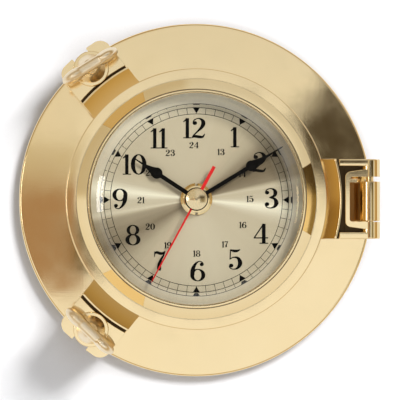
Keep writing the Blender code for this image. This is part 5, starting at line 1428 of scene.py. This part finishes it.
def digit_shape(digit, weight, front):
    """One digit a unit high, as a thin plate of ink."""
    entry = DIGITS[digit]
    parts = []
    for x, y, rx, ry, thick, thin in entry.get("rings", ()):
        thick, thin = thick * weight, max(0.03, thin * weight)
        outer = [(x + rx * px, y + ry * py) for px, py in circle((0, 0), 1, 48)]
        inner = [(x + (rx - thick) * px, y + (ry - thin) * py) for px, py in circle((0, 0), 1, 48)]
        parts.append(prism("ring", [outer, inner], 0, front))
    for x, y, radius in entry.get("dots", ()):
        parts.append(prism("dot", [circle((x, y), radius * (0.4 + 0.6 * weight), 24)], 0, front))
    for left, right, low, high in entry.get("bars", ()):
        middle = (left + right) / 2
        half = (right - left) / 2
        if high - low > half:
            half *= weight
        parts.append(block("bar", (middle - half, low, 0), (middle + half, high, front)))
    for knots in entry.get("strokes", ()):
        parts.append(prism("stroke", [stroke_outline(knots, weight)], 0, front))
    first = parts[0]
    if len(parts) > 1:
        combine(first, parts[1:], "UNION")
    first.name = "digit"
    return first


# How much digits are widened, if not by the usual, and where the middle of each numeral lies
USUAL_STRETCH = 1.17
STRETCH = {"1": 0.9, "4": 1.08, "7": 1.0}
HOUR_PLACES = {
    1: (16.0, 26.3), 2: (26.8, 15.7), 3: (31.6, 0.4), 4: (27.1, -14.5), 5: (16.4, -25.5),
    6: (0.3, -30.4), 7: (-15.5, -26.2), 8: (-27.0, -15.2), 9: (-32.4, 0.1), 10: (-26.4, 14.7),
    11: (-16.1, 25.8), 12: (-0.8, 30.1),
}
DAY_PLACES = {
    13: (10.4, 20.0), 14: (19.4, 10.7), 15: (22.7, 0.1), 16: (19.6, -10.9), 17: (12.1, -19.1),
    18: (0.1, -23.0), 19: (-12.1, -19.5), 20: (-19.6, -11.6), 21: (-23.5, -0.4), 22: (-19.5, 11.2),
    23: (-11.1, 19.6), 24: (-1.1, 22.9),
}


class CLOCK_OT_numerals(bpy.types.Operator):
    """Print the hours from 1 to 12 and the small hours from 13 to 24"""

    bl_idname = "clock.numerals"
    bl_label = "Numerals"

    def execute(self, context):
        dial = millimetres("dial")
        self.print_all("hour_numerals", HOUR_PLACES, dial.hour_height, 1.0, dial)
        self.print_all("day_numerals", DAY_PLACES, dial.day_height, 1.2, dial)
        return {"FINISHED"}

    def print_all(self, name, places, height, weight, dial):
        stock = {}
        items = []
        for hour, (x, y) in places.items():
            text = str(hour)
            stretches = [STRETCH.get(digit, USUAL_STRETCH) for digit in text]
            widths = [DIGIT_WIDTH.get(digit, USUAL_WIDTH) * wider for digit, wider in zip(text, stretches)]
            pen = x - (sum(widths) - LAST_SPACE) * height / 2
            for digit, wider, width in zip(text, stretches, widths):
                if digit not in stock:
                    stock[digit] = digit_shape(digit, weight, dial.ink / height)
                spot = Matrix.Translation((pen, y - height / 2, dial.front))
                copy = bpy.data.objects.new("digit", stock[digit].data.copy())
                copy.data.transform(spot @ Matrix.Diagonal((height * wider, height, height, 1)))
                items.append(copy)
                pen += width * height
        for item in stock.values():
            bpy.data.objects.remove(item)
        place(gather(name, items), "case", "black_paint")


def bulb_outline(length, bulb_at, bulb_radius, shank_half, boss_radius):
    """A hand along +Y: round boss, slim shank, round bulb, then a hollow-sided point."""
    meet = math.asin(shank_half / bulb_radius)
    boss_meet = math.asin(shank_half / boss_radius)
    reach = length - bulb_at
    shoulder = math.radians(38)
    point = 0.28
    right = arc((0, 0), boss_radius, -QUARTER, QUARTER - boss_meet, 24)
    right += arc((0, bulb_at), bulb_radius, meet - QUARTER, shoulder, 20)
    start = bulb_radius * math.sin(shoulder) / reach
    wide = bulb_radius * math.cos(shoulder)
    for i in range(1, CURVE_STEPS):
        share = start + (1 - start) * i / CURVE_STEPS
        across = point + (wide - point) * (1 - i / CURVE_STEPS) ** 2.6
        right.append((across, bulb_at + reach * share))
    right.append((0.12, length))
    return right + [(-x, y) for x, y in reversed(right)]


def second_outline(length, half, tail, tail_half, boss):
    """A slim hand along +Y with a straight tail and a round boss."""
    tail_meet = math.asin(tail_half / boss)
    meet = math.asin(half / boss)
    outline = [(-tail_half, -tail), (tail_half, -tail)]
    outline += arc((0, 0), boss, tail_meet - QUARTER, QUARTER - meet, 20)
    outline += [(half * 0.6, length), (-half * 0.6, length)]
    return outline + arc((0, 0), boss, QUARTER + meet, 1.5 * math.pi - tail_meet, 20)


# Each hand: its piece and name, outline, radius of its hole, height of its back, and its finish
HOUR_OUTLINE = bulb_outline(31.2, 20.0, 2.4, 0.9, 4.95)
MINUTE_OUTLINE = bulb_outline(41.8, 27.0, 2.3, 0.84, 3.4)
SECOND_OUTLINE = second_outline(39.0, 0.46, 15.6, 0.7, 2.5)
HANDS = (
    ("black_hour_hand", "hour", HOUR_OUTLINE, 3.0, 22.6, "black_paint"),
    ("black_minute_hand", "minute", MINUTE_OUTLINE, 1.8, 23.6, "black_paint"),
    ("red_second_hand", "second", SECOND_OUTLINE, 0.9, 24.6, "red_paint"),
)


class CLOCK_OT_hands(bpy.types.Operator):
    """Cut the three hands and turn the low cap over them"""

    bl_idname = "clock.hands"
    bl_label = "Hands and cap"

    def execute(self, context):
        for piece, name, outline, hole, back, slot in HANDS:
            hand = prism(piece, [outline, circle((0, 0), hole)], back, back + HAND_THICKNESS)
            soften_edges(hand, 0.1, 2)
            angle = getattr(context.scene.clock_dial, name + "_angle")
            hand.data.transform(Matrix.Rotation(-angle, 4, "Z"))
            place(hand, name + "s", slot, [name + "_hand"])
        back, front, radius, rim = 25.4, 27.3, 4.5, 0.95
        rise = front - back - rim
        bend = (radius * radius + rise * rise) / (2 * rise)
        steps = 16
        dome = [(0, front)]
        for i in range(1, steps + 1):
            r = radius * i / steps
            dome.append((r, front - bend + math.sqrt(bend * bend - r * r)))
        dome += [(radius, back + 0.15), (radius - 0.15, back), (0, back)]
        cap = turned("domed_cap", dome, ROUND_STEPS)
        place(cap, "seconds", "polished_brass", ["centre_cap"], 40, "cap_brass")
        return {"FINISHED"}


class CLOCK_OT_movement(bpy.types.Operator):
    """Give the hidden parts of the movement their own finishes"""

    bl_idname = "clock.movement"
    bl_label = "Movement"

    def execute(self, context):
        slots = {row["node"]: row["material_slot"] for row in frame["record"]["subparts"]}
        for name, node in frame["nodes"].items():
            finish = material_for(slots[name])
            if not node.data.materials:
                node.data.materials.append(finish)
            for index in range(len(node.data.materials)):
                node.data.materials[index] = finish
        return {"FINISHED"}


# Stage

# What the brass mirrors of the room, from straight behind it to straight before it
ROOM = (
    (0.0, (0.90, 0.89, 0.87)), (0.09, (0.88, 0.84, 0.76)), (0.16, (0.58, 0.38, 0.12)),
    (0.26, (0.50, 0.31, 0.09)), (0.36, (0.34, 0.20, 0.07)), (0.46, (0.56, 0.38, 0.14)),
    (0.64, (0.70, 0.60, 0.45)), (0.80, (1.0, 1.0, 1.0)),
)


def pane(left, right, low, high):
    return ((left, low), (left, high), (right, high), (right, low))


# Each card: how far before the clock, its corners, tint and strength
DARK_CARD = ((0.107, 0.028), (0.107, 0.083), (0.142, 0.131), (0.25, 0.28), (0.7, 0.28), (0.7, 0.028))
LENS_HOLE = circle((0.017, 0.0142), 0.080, 48)
CARDS = {
    "dark_card": (0.930, DARK_CARD, (0.075, 0.060, 0.040), 1.0),
    "lens_hole": (0.915, LENS_HOLE, (0.012, 0.012, 0.012), 1.0),
    "dark_side": (0.940, pane(0.27, 0.75, -0.25, 0.30), (0.30, 0.26, 0.16), 1.0),
    "brown_card": (0.930, pane(-0.5, -0.085, -0.07, 0.03), (0.42, 0.27, 0.16), 1.0),
    "pale_brown_card": (0.930, pane(-0.5, -0.085, 0.03, 0.065), (0.62, 0.55, 0.42), 1.0),
    "small_card": (0.925, pane(-0.093, -0.066, -0.052, -0.002), (0.12, 0.10, 0.05), 1.0),
    "window_card": (0.930, pane(-0.83, -0.73, -0.09, 0.21), (1.0, 1.0, 1.0), 9.0),
}

# The wall stands just behind the case; wall and floor meet low down, and reach this far
WALL_AT = 0.0006
STAGE_HALF = 1.5
STAGE_FOOT = -0.5
FLOOR_FRONT = -2.5


class CLOCK_OT_stage(bpy.types.Operator):
    """Set up the wall, the floor, the soft light, the cards that the brass mirrors and the camera"""

    bl_idname = "clock.stage"
    bl_label = "Stage"

    def execute(self, context):
        stage = context.scene.clock_stage
        left_foot, right_foot = [(x, WALL_AT, STAGE_FOOT) for x in (-STAGE_HALF, STAGE_HALF)]
        right_top, left_top = [(x, WALL_AT, STAGE_HALF) for x in (STAGE_HALF, -STAGE_HALF)]
        left_front, right_front = [(x, FLOOR_FRONT, STAGE_FOOT) for x in (-STAGE_HALF, STAGE_HALF)]
        self.sheet("wall", (left_foot, right_foot, right_top, left_top), stage)
        self.sheet("floor", (left_foot, left_front, right_front, right_foot), stage)
        self.world(context, stage)
        self.lamp("key_light", (0.52, -0.93, 0.52), 0.42, stage.key)
        for name, card in CARDS.items():
            self.card(name, *card)
        self.camera(context, stage)
        context.scene.view_settings.view_transform = "Standard"
        return {"FINISHED"}

    def flat(self, name, corners, material):
        mesh = bpy.data.meshes.new(name)
        mesh.from_pydata(corners, [], [tuple(range(len(corners)))])
        mesh.materials.append(material)
        return linked(name, mesh)

    def sheet(self, name, corners, stage):
        """A pale sheet that shows only from its front, keeps the clock's shadow and adds a painted contact
        shadow close to the clock.
        """
        material, board, vector = new_material("pale_" + name)
        tone = board.blend(board.noise(vector, 900.0), solid(stage.wall), shaded(stage.wall, 1.02))
        # Painted shadow: grey where the clock stands close over the sheet
        near = board.span(board.open_sky(0.03), 0.35, 0.9)
        tone = board.blend(near, (0.50, 0.50, 0.53, 1), tone)
        board.give(board.shader, {"Base Color": tone, "Roughness": 0.9, "Specular IOR Level": 0.0})
        glow = board.add("ShaderNodeEmission", {"Color": (1, 1, 1, 1), "Strength": 0.92})
        lit = board.mix(board.mirrored(), board.shader, glow)
        behind = board.add("ShaderNodeNewGeometry").outputs["Backfacing"]
        show(board, board.mix(behind, lit, board.add("ShaderNodeBsdfTransparent")))
        item = self.flat(name, corners, material)
        item.visible_glossy = name == "wall"

    def card(self, name, distance, outline, tint, strength):
        """A toned card before the clock: only what is polished or glazed sees it."""
        material = bpy.data.materials.new(name)
        board = bare(material)
        glow = board.add("ShaderNodeEmission", {"Color": solid(tint), "Strength": strength})
        show(board, board.mix(board.mirrored(), board.add("ShaderNodeBsdfTransparent"), glow))
        card = self.flat(name, [(x, -distance, z) for x, z in outline], material)
        card.visible_camera = False
        card.visible_diffuse = False
        card.visible_shadow = False

    def world(self, context, stage):
        world = bpy.data.worlds.new("soft_white_room")
        board = bare(world)
        path = board.add("ShaderNodeLightPath").outputs
        seen = board.maths("MAXIMUM", path["Is Camera Ray"], path["Is Transmission Ray"])
        seen = board.maths("MAXIMUM", seen, path["Is Glossy Ray"])
        strength = board.span(seen, 0.0, 1.0, stage.ambient, 1.0)
        parts = board.split(board.add("ShaderNodeTexCoord").outputs["Generated"])
        room = board.ramp(board.maths("MULTIPLY", parts[1], -1.0), ROOM)
        shade = board.span(parts[2], 0.0, 0.11, 1.0, 0.79)
        toned = board.vector_maths("SCALE", {0: room, 3: shade})
        left = board.maths("MULTIPLY", board.span(parts[0], -0.02, -0.11), board.span(parts[2], 0.0, 0.06))
        warmer = board.vector_maths("MULTIPLY", {0: toned, 1: (0.86, 0.79, 0.66)})
        toned = board.blend(left, toned, warmer)
        tint = board.blend(board.mirrored(), (1, 1, 1, 1), toned)
        light = board.add("ShaderNodeBackground", {"Color": tint, "Strength": strength})
        board.add("ShaderNodeOutputWorld", {0: light.outputs[0]})
        context.scene.world = world

    def lamp(self, name, spot, size, power):
        light = bpy.data.lights.new(name, "AREA")
        light.shape = "DISK"
        light.size = size
        light.energy = power
        lamp = linked(name, light)
        lamp.location = spot
        lamp.visible_glossy = False
        lamp.visible_transmission = False
        lamp.rotation_euler = (-Vector(spot)).to_track_quat("-Z", "Y").to_euler()

    def camera(self, context, stage):
        lens = bpy.data.cameras.new("camera")
        lens.sensor_width = 36.0
        lens.lens = lens.sensor_width * stage.distance / stage.view_width
        lens.clip_start = 0.01
        lens.clip_end = 20.0
        camera = linked("camera", lens)
        aim = Vector((stage.aim_x, -0.006, stage.aim_z))
        side, rise = stage.sideways, stage.height
        level = math.cos(rise)
        away = Vector((math.sin(side) * level, -math.cos(side) * level, math.sin(rise)))
        camera.location = aim + away * stage.distance
        camera.rotation_euler = (-away).to_track_quat("-Z", "Y").to_euler()
        context.scene.camera = camera


STEPS = (
    CLOCK_OT_case, CLOCK_OT_back_cover, CLOCK_OT_door, CLOCK_OT_glass, CLOCK_OT_seals, CLOCK_OT_hinge,
    CLOCK_OT_dogs, CLOCK_OT_wing_screws, CLOCK_OT_dial, CLOCK_OT_minute_track, CLOCK_OT_numerals,
    CLOCK_OT_hands, CLOCK_OT_movement, CLOCK_OT_stage,
)


class CLOCK_PT_panel(bpy.types.Panel):
    """Lists the steps that build the clock, and its settings"""

    bl_idname = "CLOCK_PT_panel"
    bl_label = "Porthole clock"
    bl_space_type = "VIEW_3D"
    bl_region_type = "UI"
    bl_category = "Clock"

    def draw(self, context):
        for step in STEPS:
            self.layout.operator(step.bl_idname)
        for name in GROUPS:
            box = self.layout.box()
            settings = getattr(context.scene, name)
            for key in settings.bl_rna.properties.keys():
                if key not in ("rna_type", "name"):
                    box.prop(settings, key)


GROUPS = {
    "clock_case": ClockCaseSettings,
    "clock_door": ClockDoorSettings,
    "clock_hinge": ClockHingeSettings,
    "clock_dogs": ClockDogSettings,
    "clock_dial": ClockDialSettings,
    "clock_finish": ClockFinishSettings,
    "clock_stage": ClockStageSettings,
}


def register():
    for name, kind in GROUPS.items():
        bpy.utils.register_class(kind)
        setattr(bpy.types.Scene, name, bpy.props.PointerProperty(type=kind))
    for kind in STEPS + (CLOCK_PT_panel,):
        bpy.utils.register_class(kind)


def unregister():
    for kind in reversed(STEPS + (CLOCK_PT_panel,)):
        bpy.utils.unregister_class(kind)
    for name, kind in reversed(list(GROUPS.items())):
        delattr(bpy.types.Scene, name)
        bpy.utils.unregister_class(kind)


def main():
    register()
    for step in STEPS:
        family, name = step.bl_idname.split(".")
        getattr(getattr(bpy.ops, family), name)()


if __name__ == "__main__":
    main()
